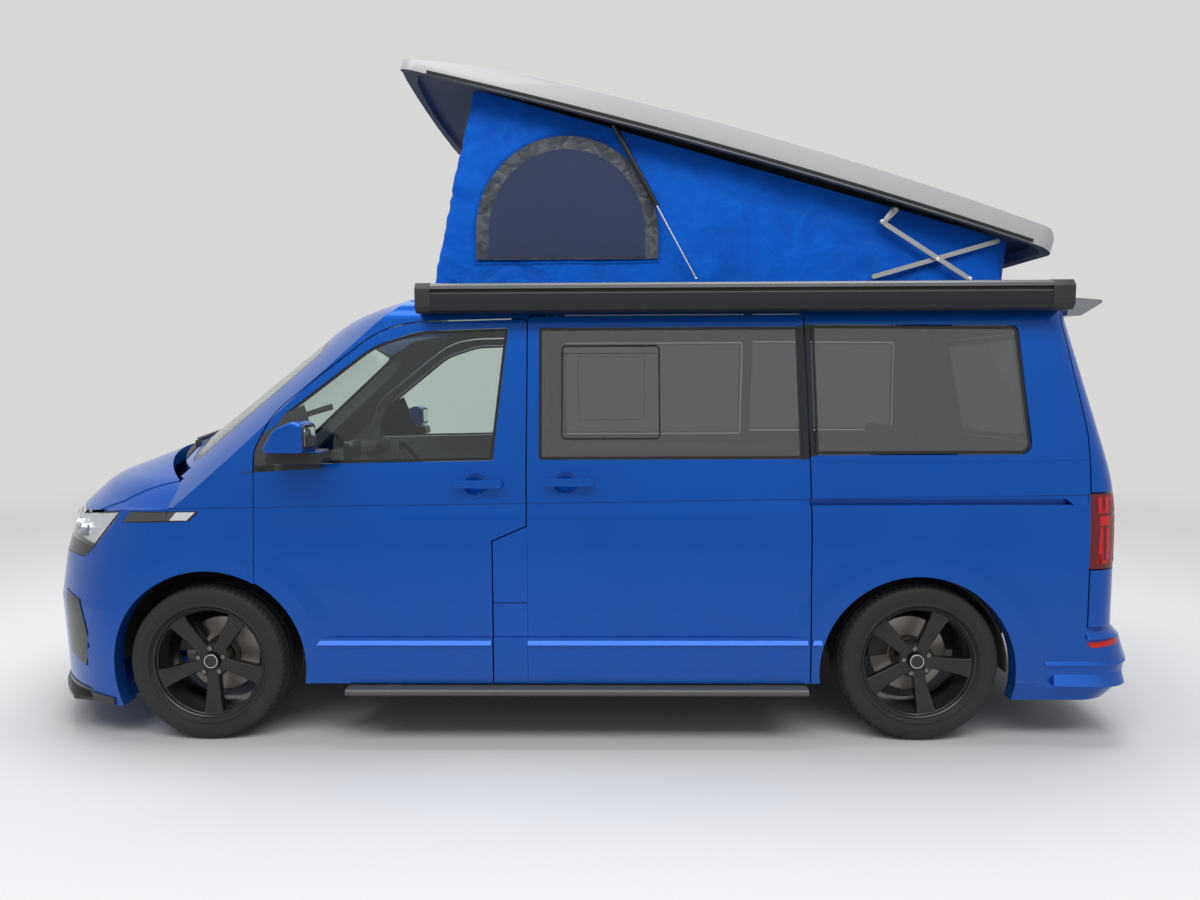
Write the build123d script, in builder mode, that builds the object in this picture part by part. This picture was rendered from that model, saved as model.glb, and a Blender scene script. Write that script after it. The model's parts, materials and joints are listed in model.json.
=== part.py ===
"""Camper van with a front-elevating pop-top roof, a side awning and a sliding door.

Units are millimetres, +Z is up, -X is the front of the van and -Y its left side.
The origin is on the ground below the middle of the wheelbase.
"""

from build123d import *
from math import asin, atan, atan2, cos, degrees, radians, sin, sqrt, tan
import os

os.makedirs("parts", exist_ok=True)

# Overall sizes
wheelbase = 3000.0
nose_reach = 2425.0
tail_reach = 2385.0
hull_half = 949.0
hull_bottom = 165.0
sill_z = 258.0
roof_crown = 1934.0
wall = 60.0
panel_gap = 6.0
glass_skin = 5.0
glass_recess = 3.0

# Wheels
track = 1628.0
tyre_radius = 332.0
tyre_width = 255.0
rim_radius = 241.0
axle_x = {"front": -wheelbase / 2, "rear": wheelbase / 2}
arch_radius = {"front": 410.0, "rear": 406.0}
arch_centre_x = {"front": -1485.0, "rear": 1482.0}
arch_centre_z = {"front": 325.0, "rear": 302.0}
flare_width = 90.0
flare_stand = 12.0
flare_fade = 80.0

# Crease along the flank, which climbs towards the tail
crease_z = 1018.0
crease_rise = 0.0125
crease_depth = 5.0
crease_height = 55.0
crease_ends = (-1640.0, 2172.0)

crease_foot = 944.5
dish_radius = 72.5
dish_depth = 20.0

# Roof mechanism, in side view
roof_arm_foot = (1363.0, 1968.0)
roof_arm_tip = (1895.0, 2117.0)

sides = {"left": -1, "right": 1}


def rounded_path(corners):
    """Draw lines through the corners (x, y, radius), with an arc tangent to both lines at each."""
    at = Vector(corners[0][0], corners[0][1])
    for before, corner, after in zip(corners, corners[1:], corners[2:]):
        here = Vector(corner[0], corner[1])
        radius = corner[2]
        if radius == 0:
            Line(at, here)
            at = here
            continue
        back = (Vector(before[0], before[1]) - here).normalized()
        ahead = (Vector(after[0], after[1]) - here).normalized()
        half_angle = radians(back.get_angle(ahead)) / 2
        reach = radius / tan(half_angle)
        middle = here + (back + ahead).normalized() * (radius / sin(half_angle) - radius)
        Line(at, here + back * reach)
        ThreePointArc(here + back * reach, middle, here + ahead * reach)
        at = here + ahead * reach
    Line(at, Vector(corners[-1][0], corners[-1][1]))


def rounded_loop(corners):
    """Draw a closed outline through the corners (x, y, radius), from the middle of its first side."""
    first, second = corners[0], corners[1]
    start = ((first[0] + second[0]) / 2, (first[1] + second[1]) / 2, 0)
    rounded_path([start] + corners[1:] + [first, start])


def side_prism(corners, side, grow=0.0, near=0.0, far=1300.0):
    """Solid seen from the side as the outline (x, z, radius), from near to far off the centre line."""
    with BuildPart() as prism:
        with BuildSketch(Plane.XZ.offset(-sides[side] * near)):
            with BuildLine():
                rounded_loop(corners)
            make_face()
            if grow != 0:
                offset(amount=grow)
        extrude(amount=-sides[side] * (far - near))
    return prism.part


def cross_prism(corners, half_width=1300.0):
    """Solid seen from the side as the outline (x, z, radius), across the whole van."""
    with BuildPart() as prism:
        with BuildSketch(Plane.XZ):
            with BuildLine():
                rounded_loop(corners)
            make_face()
        extrude(amount=half_width, both=True)
    return prism.part


def block(low, high):
    """Box from its low corner to its high corner."""
    size = [b - a for a, b in zip(low, high)]
    with BuildPart() as box:
        with Locations([(low[0], low[1], low[2])]):
            Box(*size, align=(Align.MIN, Align.MIN, Align.MIN))
    return box.part


# Hull: section across the van, extruded along it and cut to its nose, screen and tail

belt = (926.0, 1160.0)
cant = (785.0, 1866.0)
crown_corner_z = 1985.0


def hull_section(inset):
    """Half width, height and corner radius of the section, from the bottom to the crown."""
    right = [
        (0, hull_bottom + inset, 0),
        (hull_half - inset, hull_bottom + inset, 0),
        (hull_half - inset, 900, 2000),
        (belt[0] - inset, belt[1], 1800),
        (cant[0] - inset, cant[1] - inset * 0.8, 120 - inset),
        (0, crown_corner_z - inset, 4500),
    ]
    left = [(-half, z, radius) for half, z, radius in right[-2::-1]]
    return right + left


tail_bow = 6000.0
tail_lean = 14.6
tail_knee_z = 1060.0
tail_corner = 130.0


def tail_cutter(lean, knee_z, inset):
    """Everything behind a bowed wall that leans forwards by the given angle from its knee."""
    up = Vector(-sin(radians(lean)), 0, cos(radians(lean)))
    out = Vector(cos(radians(lean)), 0, sin(radians(lean)))
    centre = Vector(tail_reach, 0, knee_z) - out * (tail_bow + inset)
    half_angle = radians(16)
    edge = (tail_bow * cos(half_angle), tail_bow * sin(half_angle))
    beyond = tail_bow + 900
    with BuildPart() as cutter:
        with BuildSketch(Plane(origin=centre - up * 1500, x_dir=out, z_dir=up)):
            with BuildLine():
                ThreePointArc(edge, (tail_bow, 0), (edge[0], -edge[1]))
                Polyline([(edge[0], -edge[1]), (beyond, -edge[1]), (beyond, edge[1]), edge])
            make_face()
        extrude(amount=3500)
    return cutter.part


nose_bow = 2600.0
nose_corner = 700.0
nose_half = 954.0
# height, how far the nose is set back there
nose_levels = [(100, 25), (560, 0), (760, 35), (960, 100), (1100, 190)]


def nose_solid(inset):
    """Plan outline of the nose at each level, its sides running on to the tail."""
    with BuildPart() as nose:
        for z, set_back in nose_levels:
            front_x = -nose_reach + set_back + inset
            half, corner = nose_half - inset, nose_corner - inset
            turn = asin((half - corner) / (nose_bow - corner))
            bow_x = front_x + nose_bow
            corner_x = bow_x - (nose_bow - corner) * cos(turn)
            corner_y = half - corner
            join = (bow_x - nose_bow * cos(turn), nose_bow * sin(turn))
            bend = (turn + radians(90)) / 2
            middle = (corner_x - corner * cos(bend), corner_y + corner * sin(bend))
            with BuildSketch(Plane.XY.offset(z)):
                with BuildLine():
                    ThreePointArc((join[0], -join[1]), (front_x, 0), join)
                    ThreePointArc(join, middle, (corner_x, half))
                    Polyline([(corner_x, half), (2800, half), (2800, -half), (corner_x, -half)])
                    ThreePointArc((corner_x, -half), (middle[0], -middle[1]), (join[0], -join[1]))
                make_face()
        loft(ruled=True)
        extrude(nose.faces().sort_by(Axis.Z)[-1], amount=1100)
    return nose.part


bonnet_axis_x = -1400.0
# distance from the bonnet's upright axis, height
bonnet_ridge = (860.0, 1082.0)
bonnet_cowl = (300.0, 1300.0)
bonnet_lip = (1010.0, 935.0)


def bonnet_solid(inset):
    """Two cones about an upright axis, so that the bonnet is bowed in plan and crowned across."""
    with BuildPart() as cone:
        with BuildSketch(Plane.YZ.offset(bonnet_axis_x)):
            with BuildLine():
                Polyline(
                    [
                        (0, 0),
                        (0, bonnet_cowl[1] - inset),
                        (bonnet_cowl[0], bonnet_cowl[1] - inset),
                        (bonnet_ridge[0], bonnet_ridge[1] - inset),
                        (bonnet_lip[0], bonnet_lip[1] - inset),
                        (1700, bonnet_lip[1] - inset),
                        (1700, 0),
                        (0, 0),
                    ]
                )
            make_face()
        revolve(axis=Axis((bonnet_axis_x, 0, 0), (0, 0, 1)), revolution_arc=180)
        ridge = cone.edges().filter_by(GeomType.CIRCLE)
        fillet(ridge.filter_by(lambda e: abs(e.radius - bonnet_ridge[0]) < 1), radius=300)
    return cone.part


screen_slope = 38.2
screen_foot = (-1769.0, 1267.0)
screen_bow = 1600.0
roof_start_x = 100.0
roof_front_arc = 5240.0
header_radius = 420.0

screen_up = Vector(cos(radians(screen_slope)), 0, sin(radians(screen_slope)))
screen_out = Vector(-sin(radians(screen_slope)), 0, cos(radians(screen_slope)))


def screen_plane(along, inset=0.0):
    """Plane across the windscreen's slope, its local Y pointing out of the glass."""
    foot = Vector(screen_foot[0], 0, screen_foot[1])
    return Plane(origin=foot + screen_up * along - screen_out * inset, x_dir=(0, 1, 0), z_dir=screen_up)


def cab_solid(inset):
    """Everything under the windscreen's cylinder and the roof line, back to the tail."""
    roof_z = roof_crown + 6 - inset
    arc = roof_front_arc - inset
    front_x = -2400.0
    front_z = roof_z - arc + sqrt(arc**2 - (roof_start_x - front_x) ** 2)
    middle_x = (front_x + roof_start_x) / 2
    middle_z = roof_z - arc + sqrt(arc**2 - (roof_start_x - middle_x) ** 2)
    rim = 960.0
    with BuildPart() as cab:
        with BuildSketch(Plane.XZ):
            with BuildLine():
                ThreePointArc((front_x, front_z), (middle_x, middle_z), (roof_start_x, roof_z))
                Polyline([(roof_start_x, roof_z), (2800, roof_z), (2800, 0), (front_x, 0), (front_x, front_z)])
            make_face()
        extrude(amount=rim, both=True)
        with BuildSketch(screen_plane(-1500, inset)):
            with BuildLine():
                drop = screen_bow - sqrt(screen_bow**2 - rim**2)
                ThreePointArc((-rim, -drop), (0, 0), (rim, -drop))
                Polyline([(rim, -drop), (rim, 800), (-rim, 800), (-rim, -drop)])
            make_face()
        extrude(amount=3200, mode=Mode.SUBTRACT)
        across = cab.edges().filter_by(lambda e: e.bounding_box().size.Y > 2 * rim - 1)
        header = across.filter_by(lambda e: -1500 < e.bounding_box().min.X < -600)
        fillet(header.sort_by(Axis.Z)[-1], radius=header_radius - inset)
    return cab.part


shoulder_line = [(-2700, 860), (-2139, 945), (-1850, 988), (-1300, 1003)]


def shoulder_solid(inset):
    """Wing shoulders, whose top follows the crease line down to the headlamps."""
    corners = [(x, z - inset, 0) for x, z in shoulder_line]
    return cross_prism(corners + [(-1300, 0, 0), (-2700, 0, 0)], half_width=1100)


def tube_solid(inset, start_x=-2750.0, length=5500.0):
    """The hull's section, extruded along the van."""
    with BuildPart() as tube:
        with BuildSketch(Plane.YZ.offset(start_x)):
            with BuildLine():
                rounded_path(hull_section(inset))
            make_face()
        extrude(amount=length)
    return tube.part


def envelope(inset):
    """The whole hull as a solid, moved inwards by the inset."""
    top = cab_solid(inset) + bonnet_solid(inset) + shoulder_solid(inset)
    with BuildPart() as hull:
        add(tube_solid(inset))
        add(tail_cutter(0, 1000, inset), mode=Mode.SUBTRACT)
        add(tail_cutter(tail_lean, tail_knee_z, inset), mode=Mode.SUBTRACT)
        at_tail = hull.edges().filter_by(lambda e: e.bounding_box().min.X > 1700)
        knee = at_tail.filter_by(lambda e: e.bounding_box().size.Y > 1500).filter_by_position(Axis.Z, 900, 1200)
        fillet(knee, radius=900)
        at_tail = hull.edges().filter_by(lambda e: e.bounding_box().min.X > 1700 and e.center().Z > hull_bottom + inset + 5)
        corner = at_tail.filter_by(lambda e: not (e.bounding_box().size.Y > 1500 and e.center().Z < 1500))
        fillet(corner, radius=tail_corner - inset)
        add(nose_solid(inset), mode=Mode.INTERSECT)
        add(top, mode=Mode.INTERSECT)
    return hull.part



# The walled hull, which is cut up where the real panels meet

skin = envelope(0)
cavity = envelope(wall)
proud = envelope(-flare_stand)

moulding_top = 453.0


def arch_prism(end, grow=0.0, near=500.0):
    """Round wheel opening on both sides, from near off the centre line outwards."""
    with BuildPart() as opening:
        for sign in sides.values():
            with BuildSketch(Plane.XZ.offset(-sign * near)):
                with Locations((arch_centre_x[end], arch_centre_z[end])):
                    Circle(arch_radius[end] + grow)
            extrude(amount=-sign * 800)
    return opening.part


def slabs(low, high):
    """The same box on the left and on the right, given on the right."""
    mirrored_low = (low[0], -high[1], low[2])
    mirrored_high = (high[0], -low[1], high[2])
    return block(low, high) + block(mirrored_low, mirrored_high)


def both_sides(outline, grow=0.0, near=0.0, far=1300.0):
    """The same side prism on the left and on the right."""
    return side_prism(outline, "left", grow, near, far) + side_prism(outline, "right", grow, near, far)


arches = arch_prism("front") + arch_prism("rear")


def flare(end):
    """Swelling round a wheel opening on both sides, which fades into the flank as a cone."""
    near, flank, far = 850.0, hull_half, hull_half + flare_stand
    inner = arch_radius[end] + flare_width - flare_fade / 4
    outer = inner + flare_fade
    with BuildPart() as swelling:
        for sign in sides.values():
            profile = Plane(
                origin=(arch_centre_x[end], 0, arch_centre_z[end]), x_dir=(0, sign, 0), z_dir=(sign, 0, 0)
            )
            with BuildSketch(profile):
                Polygon((near, 0), (near, outer), (flank, outer), (far, inner), (far + 60, inner), (far + 60, 0), align=None)
            revolve(axis=Axis(profile.origin, (0, 1, 0)))
    return swelling.part


def crease_wedge(side):
    """What the crease takes off the flank: deepest under its line, nothing at its foot."""
    sign = sides[side]
    start, end = crease_ends
    line = [(x, crease_z + crease_rise * x) for x in (start, end)]
    outline = [(line[0][0], line[0][1], 0), (line[1][0], line[1][1], 0)]
    outline += [(x, z - crease_height, 0) for x, z in reversed(line)]
    foot = Vector(0, sign * crease_foot, crease_z - crease_height)
    rise = degrees(atan(crease_rise))
    lean = sign * degrees(atan2(crease_depth, crease_height))
    turn = Pos(foot) * Rot(0, -rise, 0) * Rot(lean, 0, 0) * Rot(0, rise, 0) * Pos(-foot)
    return side_prism(outline, side, 0, 860, 1000) - turn * skin


mouldings = slabs((-1060, 850, sill_z), (1075, 1200, moulding_top))
rail_slot = [(1030, 1003, 0), (1030, 1028, 0), (2078, 1028, 0), (2111, 1003, 0)]
walls = (skin + (proud & (flare("front") + flare("rear") + mouldings))) - cavity - arches
walls = walls - crease_wedge("left") - crease_wedge("right")
# Handle dishes: side, x, z, depth of the flank there
for side, x, z, flank in (("left", -348, 1095, 932), ("right", -348, 1095, 932), ("left", 25, 1101, 931)):
    walls = walls - Pos(x, sides[side] * (flank - dish_depth + dish_radius), z) * Sphere(dish_radius)
# Rail slot and seams behind the sliding door, and the seam of the fuel flap
walls = walls - side_prism(rail_slot, "left", 0, 903, 1000)
walls = walls - block((1030, -1000, 1182), (2172, -918, 1186)) - block((-284, -1000, 596), (-139, -940, 600))

# Outlines seen from the side (x, z, radius)
door_outline = [(-1279, 200, 0), (-1279, 1235, 150), (-1200, 1400, 250), (-760, 1745, 400), (-600, 1772, 600), (-140, 1782, 25), (-140, 200, 0)]
door_notch = [(-283, 100, 0), (-283, 858, 0), (-135, 922, 0), (-135, 100, 0)]
slider_outline = [(-140, 200, 0), (-140, 1795, 25), (1023, 1795, 25), (1040, 900, 0), (1040, 200, 0)]
front_window = [(-1228, 1172, 15), (-1222, 1270, 80), (-1165, 1385, 100), (-790, 1676, 350), (-600, 1735, 300), (-216, 1748, 15), (-276, 1187, 15)]
slider_window = [(-92, 1189, 20), (-95, 1747, 20), (1004, 1747, 20), (1010, 1189, 20)]
quarter_window = [(1054, 1208, 20), (1050, 1752, 20), (1918, 1744, 30), (1950, 1208, 50)]
tailgate_outline = [(2177, 300, 0), (2177, 1300, 300), (2104, 1790, 15), (2168, 1850, 0), (2168, 2100, 0), (2600, 2100, 0), (2600, 300, 0)]
tail_lamp_outline = [(2177, 738, 10), (2177, 1048, 10), (2450, 1048, 0), (2450, 738, 0)]
lamp_outline = [(-2460, 805, 0), (-2200, 772, 60), (-2060, 772, 25), (-2000, 818, 60), (-1840, 985, 12), (-2139, 952, 500), (-2460, 925, 0)]
wing_outline = [(-1279, 100, 0), (-1279, 1150, 10), (-1390, 1136, 20), (-1500, 1260, 0), (-2100, 1260, 0), (-2100, 880, 0), (-1962, 814, 0), (-1780, 600, 0), (-1700, 560, 0), (-1700, 100, 0)]
bumper_outline = [(-1700, 100, 0), (-1700, 560, 0), (-1780, 600, 0), (-1962, 814, 0), (-2100, 880, 0), (-2750, 880, 0), (-2750, 100, 0)]

# The bonnet's outline in plan (x, half width, radius), its rear edge bowed forwards
bonnet_rear = (-1640.0, 790.0)
bonnet_plan = [(-1640, 790, 0), (-1900, 795, 100), (-2080, 740, 150), (-2180, 640, 150), (-2300, 430, 30), (-2750, 430, 0), (-2750, 0, 0)]
bonnet_rear_middle = -1920.0
bonnet_floor_z = 938.0
bonnet_gap = 10.0
cowl_gap = 50.0
lamp_inner = 450.0


def bonnet_prism(grow=0.0, low=880.0):
    """The bonnet's outline in plan, extruded upwards."""
    with BuildPart() as prism:
        with BuildSketch(Plane.XY.offset(low)):
            with BuildLine():
                ThreePointArc((bonnet_rear[0], -bonnet_rear[1]), (bonnet_rear_middle, 0), bonnet_rear)
                rounded_path(bonnet_plan)
                rounded_path([(x, -y, radius) for x, y, radius in bonnet_plan])
            make_face()
            if grow != 0:
                offset(amount=grow)
        extrude(amount=600)
    return prism.part


def screen_prism(grow=0.0):
    """Windscreen outline, extruded along the glass's normal."""
    low, high = (30, 725), (815, 632)
    corner = 70
    foot = Vector(screen_foot[0], 0, screen_foot[1])
    with BuildPart() as prism:
        with BuildSketch(Plane(origin=foot, x_dir=(0, -1, 0), z_dir=screen_out)):
            with BuildLine():
                rounded_loop([(-low[1], low[0], corner), (low[1], low[0], corner), (high[1], high[0], corner), (-high[1], high[0], corner)])
            make_face()
            if grow != 0:
                offset(amount=grow)
        extrude(amount=500, both=True)
    return prism.part


def rear_prism(grow=0.0):
    """Rear window outline, extruded along the van."""
    with BuildPart() as prism:
        with BuildSketch(Plane.YZ.offset(1950)):
            with BuildLine():
                rounded_loop([(-715, 1195, 60), (715, 1195, 60), (640, 1745, 70), (-640, 1745, 70)])
            make_face()
            if grow != 0:
                offset(amount=grow)
        extrude(amount=700)
    return prism.part


half_gap = panel_gap / 2
floor_low = 440.0
floor_high = 480.0
glass_lap = 4.0
glass_inner = envelope(glass_recess + glass_skin)
glazing = envelope(glass_recess) - glass_inner

lamp_cut = both_sides(lamp_outline, 0, lamp_inner)
grille_cut = block((-2750, -lamp_inner, 806), (-2150, lamp_inner, 932))
intake_cut = block((-2750, -620, 330), (-2150, 620, 560))
bonnet_cut = bonnet_prism() - block((-2750, -1300, 0), (-2200, 1300, bonnet_floor_z))
cab_volume = cab_solid(0)
cowl_half = 740.0
cowl_box = block((-1960, -cowl_half, 950), (-1560, cowl_half, 1400))
cowl_cut = (cowl_box - cab_volume) + (Pos(cowl_gap, 0, 0) * bonnet_prism() & cowl_box)
door_cut = both_sides(door_outline, half_gap, 500)
notch_left = side_prism(door_notch, "left", half_gap, 500)
slider_cut = side_prism(slider_outline, "left", half_gap, 500)
tailgate_cut = cross_prism(tailgate_outline)
tail_lamp_cut = both_sides(tail_lamp_outline, 0, 790)
roof_hole = block((-520, -600, 1700), (1900, 600, 2100))
under_sill = block((-1900, -1300, 0), (2177, 1300, sill_z))
rear_bumper_top = 488.0
behind_low = block((2177, -1300, 0), (2800, 1300, rear_bumper_top))
wing_zone = both_sides(wing_outline, 0, cowl_half)
bumper_zone = cross_prism(bumper_outline)

with BuildPart() as front_bumper:
    add(walls & bumper_zone)
    for cut in (lamp_cut, grille_cut, intake_cut, bonnet_prism(half_gap)):
        add(cut, mode=Mode.SUBTRACT)

with BuildPart() as front_wings:
    add(walls & wing_zone)
    for cut in (lamp_cut, bonnet_prism(half_gap), under_sill):
        add(cut, mode=Mode.SUBTRACT)

with BuildPart() as bonnet:
    add(walls & (bonnet_prism(-bonnet_gap) - block((-2750, -1300, 0), (-2150, 1300, bonnet_floor_z))))
    add(cab_volume, mode=Mode.SUBTRACT)
    add(lamp_cut, mode=Mode.SUBTRACT)

with BuildPart() as scuttle:
    add(walls & (cowl_box - Pos(cowl_gap, 0, 0) * bonnet_prism()))
    add(cab_solid(-half_gap), mode=Mode.SUBTRACT)

with BuildPart() as headlamps:
    add(walls & both_sides(lamp_outline, -half_gap, lamp_inner + half_gap))
    add(bonnet_prism(half_gap), mode=Mode.SUBTRACT)

with BuildPart() as windscreen:
    add(glazing & screen_prism(-half_gap))

door_parts, door_glass = {}, {}
for side, sign in sides.items():
    with BuildPart() as door:
        add(walls & side_prism(door_outline, side, -half_gap, 500))
        add(side_prism(front_window, side, -glass_lap, 500), mode=Mode.SUBTRACT)
        add(under_sill, mode=Mode.SUBTRACT)
        add(arch_prism("front", panel_gap, 500), mode=Mode.SUBTRACT)
        if side == "left":
            add(notch_left, mode=Mode.SUBTRACT)
    door_parts[side] = door
    with BuildPart() as pane:
        add(glazing & side_prism(front_window, side, -glass_lap - 1, 500))
    door_glass[side] = pane

with BuildPart() as sliding_door:
    add(walls & side_prism(slider_outline, "left", -half_gap, 500))
    add(side_prism(slider_window, "left", -glass_lap, 500), mode=Mode.SUBTRACT)
    add(under_sill, mode=Mode.SUBTRACT)
    add(arch_prism("rear", panel_gap, 500), mode=Mode.SUBTRACT)

with BuildPart() as side_glass:
    add(glazing & side_prism(slider_window, "left", -glass_lap - 1, 500))
    add(glazing & side_prism(slider_window, "right", -glass_lap - 1, 500))
    add(glazing & both_sides(quarter_window, -glass_lap - 1, 500))

with BuildPart() as tailgate:
    add(walls & cross_prism([(x + (panel_gap if x < 2500 else 0), z - (panel_gap if x == 2168 else 0), radius) for x, z, radius in tailgate_outline]))
    add(rear_prism(-glass_lap), mode=Mode.SUBTRACT)
    add(both_sides([(x, z + (panel_gap if z > 900 else -panel_gap), 0) for x, z, radius in tail_lamp_outline], 0, 784), mode=Mode.SUBTRACT)
    add(block((2150, -1300, 0), (2800, 1300, rear_bumper_top + panel_gap)), mode=Mode.SUBTRACT)

with BuildPart() as tailgate_glass:
    add(glazing & rear_prism(-glass_lap - 1))

with BuildPart() as tail_lamps:
    add(walls & tail_lamp_cut)

# Inner pillars, which the doors close against
pillar_skin = cavity - tube_solid(wall + 45)
with BuildPart() as body_shell:
    add(walls)
    for cut in (bumper_zone, wing_zone, lamp_cut, bonnet_cut, cowl_cut, door_cut, slider_cut, tailgate_cut, roof_hole, under_sill, behind_low, screen_prism(), grille_cut):
        add(cut, mode=Mode.SUBTRACT)
    add(block((-2800, -1300, 0), (-1700, 1300, 1100)), mode=Mode.SUBTRACT)
    add(side_prism(slider_window, "right", 0, 500), mode=Mode.SUBTRACT)
    add(both_sides(quarter_window, 0, 500), mode=Mode.SUBTRACT)
    add(walls & (notch_left - under_sill) & side_prism(door_notch, "left", -half_gap, 500))
    add((pillar_skin & slabs((-215, 600, floor_high), (-65, 1200, 2000))) - roof_hole)


# Nose: grille, lower intake, side blades and lip
trim_set_back = 10.0
trim_panel_back = 42.0


def slatted(cut, low_z, high_z, count, slat=14.0):
    """A thin back panel inside the opening, with slats in front of it."""
    pitch = (high_z - low_z) / (count + 1)
    shape = (Pos(trim_panel_back, 0, 0) * skin - cavity) & cut
    face = (Pos(trim_set_back, 0, 0) * skin - cavity) & cut
    for index in range(count):
        z = low_z + pitch * (index + 1)
        shape += face & block((-2750, -900, z - slat / 2), (-2000, 900, z + slat / 2))
    return shape


with BuildPart() as front_trim:
    add(slatted(grille_cut, 806, 932, 3))
    add(slatted(intake_cut, 330, 560, 4))
    # Lip below the bumper, bowed like it in plan
    with BuildSketch(Plane.XY.offset(150)):
        with BuildLine():
            ThreePointArc((-2130, -850), (-2468, 0), (-2130, 850))
            Polyline([(-2130, 850), (-2000, 880), (-1960, 820), (-2080, 790)])
            ThreePointArc((-2080, 790), (-2400, 0), (-2080, -790))
            Polyline([(-2080, -790), (-1960, -820), (-2000, -880), (-2130, -850)])
        make_face()
    extrude(amount=15)
    add(front_bumper.part, mode=Mode.SUBTRACT)

# Rear bumper: plan outline at each level (height, set back)
bumper_levels = [(182, 75), (240, 15), (345, 0), (440, 30), (488, 75)]
bumper_half = 955.0
bumper_rear = 2468.0
bumper_bow = 6000.0
bumper_corner = 190.0
bumper_wall = 70.0
bumper_inner_x = 2288.0


def bumper_solid(inset, front_x):
    """Rear bumper as a solid, from its front edge back, moved inwards by the inset."""
    with BuildPart() as solid:
        for z, set_back in bumper_levels:
            half = bumper_half - inset - set_back * 0.2
            rear = bumper_rear - set_back - inset
            corner = bumper_corner
            turn = asin((half - corner) / (bumper_bow - corner))
            bow_x = rear - bumper_bow
            corner_x = bow_x + (bumper_bow - corner) * cos(turn)
            join = (bow_x + bumper_bow * cos(turn), bumper_bow * sin(turn))
            bend = (turn + radians(90)) / 2
            middle = (corner_x + corner * cos(bend), half - corner + corner * sin(bend))
            with BuildSketch(Plane.XY.offset(z)):
                with BuildLine():
                    ThreePointArc((join[0], -join[1]), (rear, 0), join)
                    ThreePointArc(join, middle, (corner_x, half))
                    Polyline([(corner_x, half), (front_x, half), (front_x, -half), (corner_x, -half)])
                    ThreePointArc((corner_x, -half), (middle[0], -middle[1]), (join[0], -join[1]))
                make_face()
        loft(ruled=True)
    return solid.part


with BuildPart() as rear_bumper:
    add(bumper_solid(0, 1880))
    add(Pos(0, 0, -40) * bumper_solid(bumper_wall, 1700), mode=Mode.SUBTRACT)
    add(block((1600, -1300, 0), (2400, 1300, 225)) & block((1600, -880, 0), (2390, 880, 300)), mode=Mode.SUBTRACT)
    add(block((1800, -850, 0), (bumper_inner_x, 850, 600)), mode=Mode.SUBTRACT)
    add(arch_prism("rear", panel_gap, 500), mode=Mode.SUBTRACT)
    add(body_shell.part, mode=Mode.SUBTRACT)

sill_low = 252.0
with BuildPart() as running_boards:
    for sign in sides.values():
        with BuildSketch(Plane.YZ.offset(-891)):
            with Locations((sign * 965, 236)):
                RectangleRounded(110, 28, 12)
        extrude(amount=1912)
        for x in (-700, 60, 820):
            with Locations((x, sign * 880, sill_low - 5)):
                Box(60, 170, 10)

# Spoiler on the tailgate
with BuildPart() as tailgate_spoiler:
    with BuildSketch(Plane.XZ):
        with BuildLine():
            rounded_loop([(2150, 1852, 0), (2205, 1868, 20), (2330, 1858, 8), (2330, 1846, 5), (2240, 1790, 20), (2150, 1790, 0)])
        make_face()
    extrude(amount=690, both=True)
    add(skin, mode=Mode.SUBTRACT)
    add(block((1900, -1300, 0), (2182, 1300, 2300)), mode=Mode.SUBTRACT)

# Door mirrors: base on the door, housing outboard of it
mirror_parts = {}
for side, sign in sides.items():
    with BuildPart() as mirror:
        with BuildSketch(Plane.XZ.offset(-sign * 985)):
            with BuildLine():
                rounded_loop([(-1163, 1240, 20), (-1105, 1335, 60), (-1030, 1366, 30), (-992, 1350, 20), (-988, 1240, 15)])
            make_face()
        extrude(amount=-sign * 163)
        outer = mirror.faces().sort_by(Axis.Y)[-1 if sign > 0 else 0]
        fillet(outer.edges(), radius=12)
        with BuildSketch(Plane.XZ.offset(-sign * 860)):
            with BuildLine():
                rounded_loop([(-1180, 1190, 15), (-1170, 1242, 15), (-960, 1242, 15), (-945, 1190, 15)])
            make_face()
        extrude(amount=-sign * 190)
        add(skin, mode=Mode.SUBTRACT)
    mirror_parts[side] = mirror

# Roof frame, which the raised roof closes onto
frame_half = 675.0
frame_top = 1937.0
with BuildPart() as roof_frame:
    with BuildSketch(Plane.XY.offset(1850)):
        with Locations((692, 0)):
            RectangleRounded(2656, 2 * frame_half, 60)
            RectangleRounded(2424, 1200, 20, mode=Mode.SUBTRACT)
    extrude(amount=frame_top - 1850)
    add(skin, mode=Mode.SUBTRACT)

# Raised roof: side view along its chord, plan outline across it
shell_front = (-693.0, 2842.0)
shell_rear = (2124.0, 2054.0)
shell_slope = atan2(shell_rear[1] - shell_front[1], shell_rear[0] - shell_front[0])
shell_length = sqrt((shell_rear[0] - shell_front[0]) ** 2 + (shell_rear[1] - shell_front[1]) ** 2)
shell_half = 720.0
shell_rim = 33.0
shell_panel = 32.0
chord_dir = Vector(cos(shell_slope), 0, sin(shell_slope))
chord_up = Vector(-sin(shell_slope), 0, cos(shell_slope))
shell_origin = Vector(shell_front[0], 0, shell_front[1])
side_plane = Plane(origin=shell_origin, x_dir=chord_dir, z_dir=(0, -1, 0))
plan_plane = Plane(origin=shell_origin - chord_up * 100, x_dir=chord_dir, z_dir=chord_up)


def shell_profile():
    """Side view of the roof: bowed lower edge, crowned top."""
    with BuildPart() as profile:
        with BuildSketch(side_plane):
            with BuildLine():
                ThreePointArc((-40, -1), (shell_length / 2, 37), (shell_length + 40, -1))
                Line((shell_length + 40, -1), (shell_length + 40, 23))
                Line((shell_length + 40, 23), (shell_length - 60, 90))
                ThreePointArc((shell_length - 60, 90), (1100, 137), (70, 84))
                Line((70, 84), (-40, 15))
                Line((-40, 15), (-40, -1))
            make_face()
        extrude(amount=900, both=True)
    return profile.part


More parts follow.
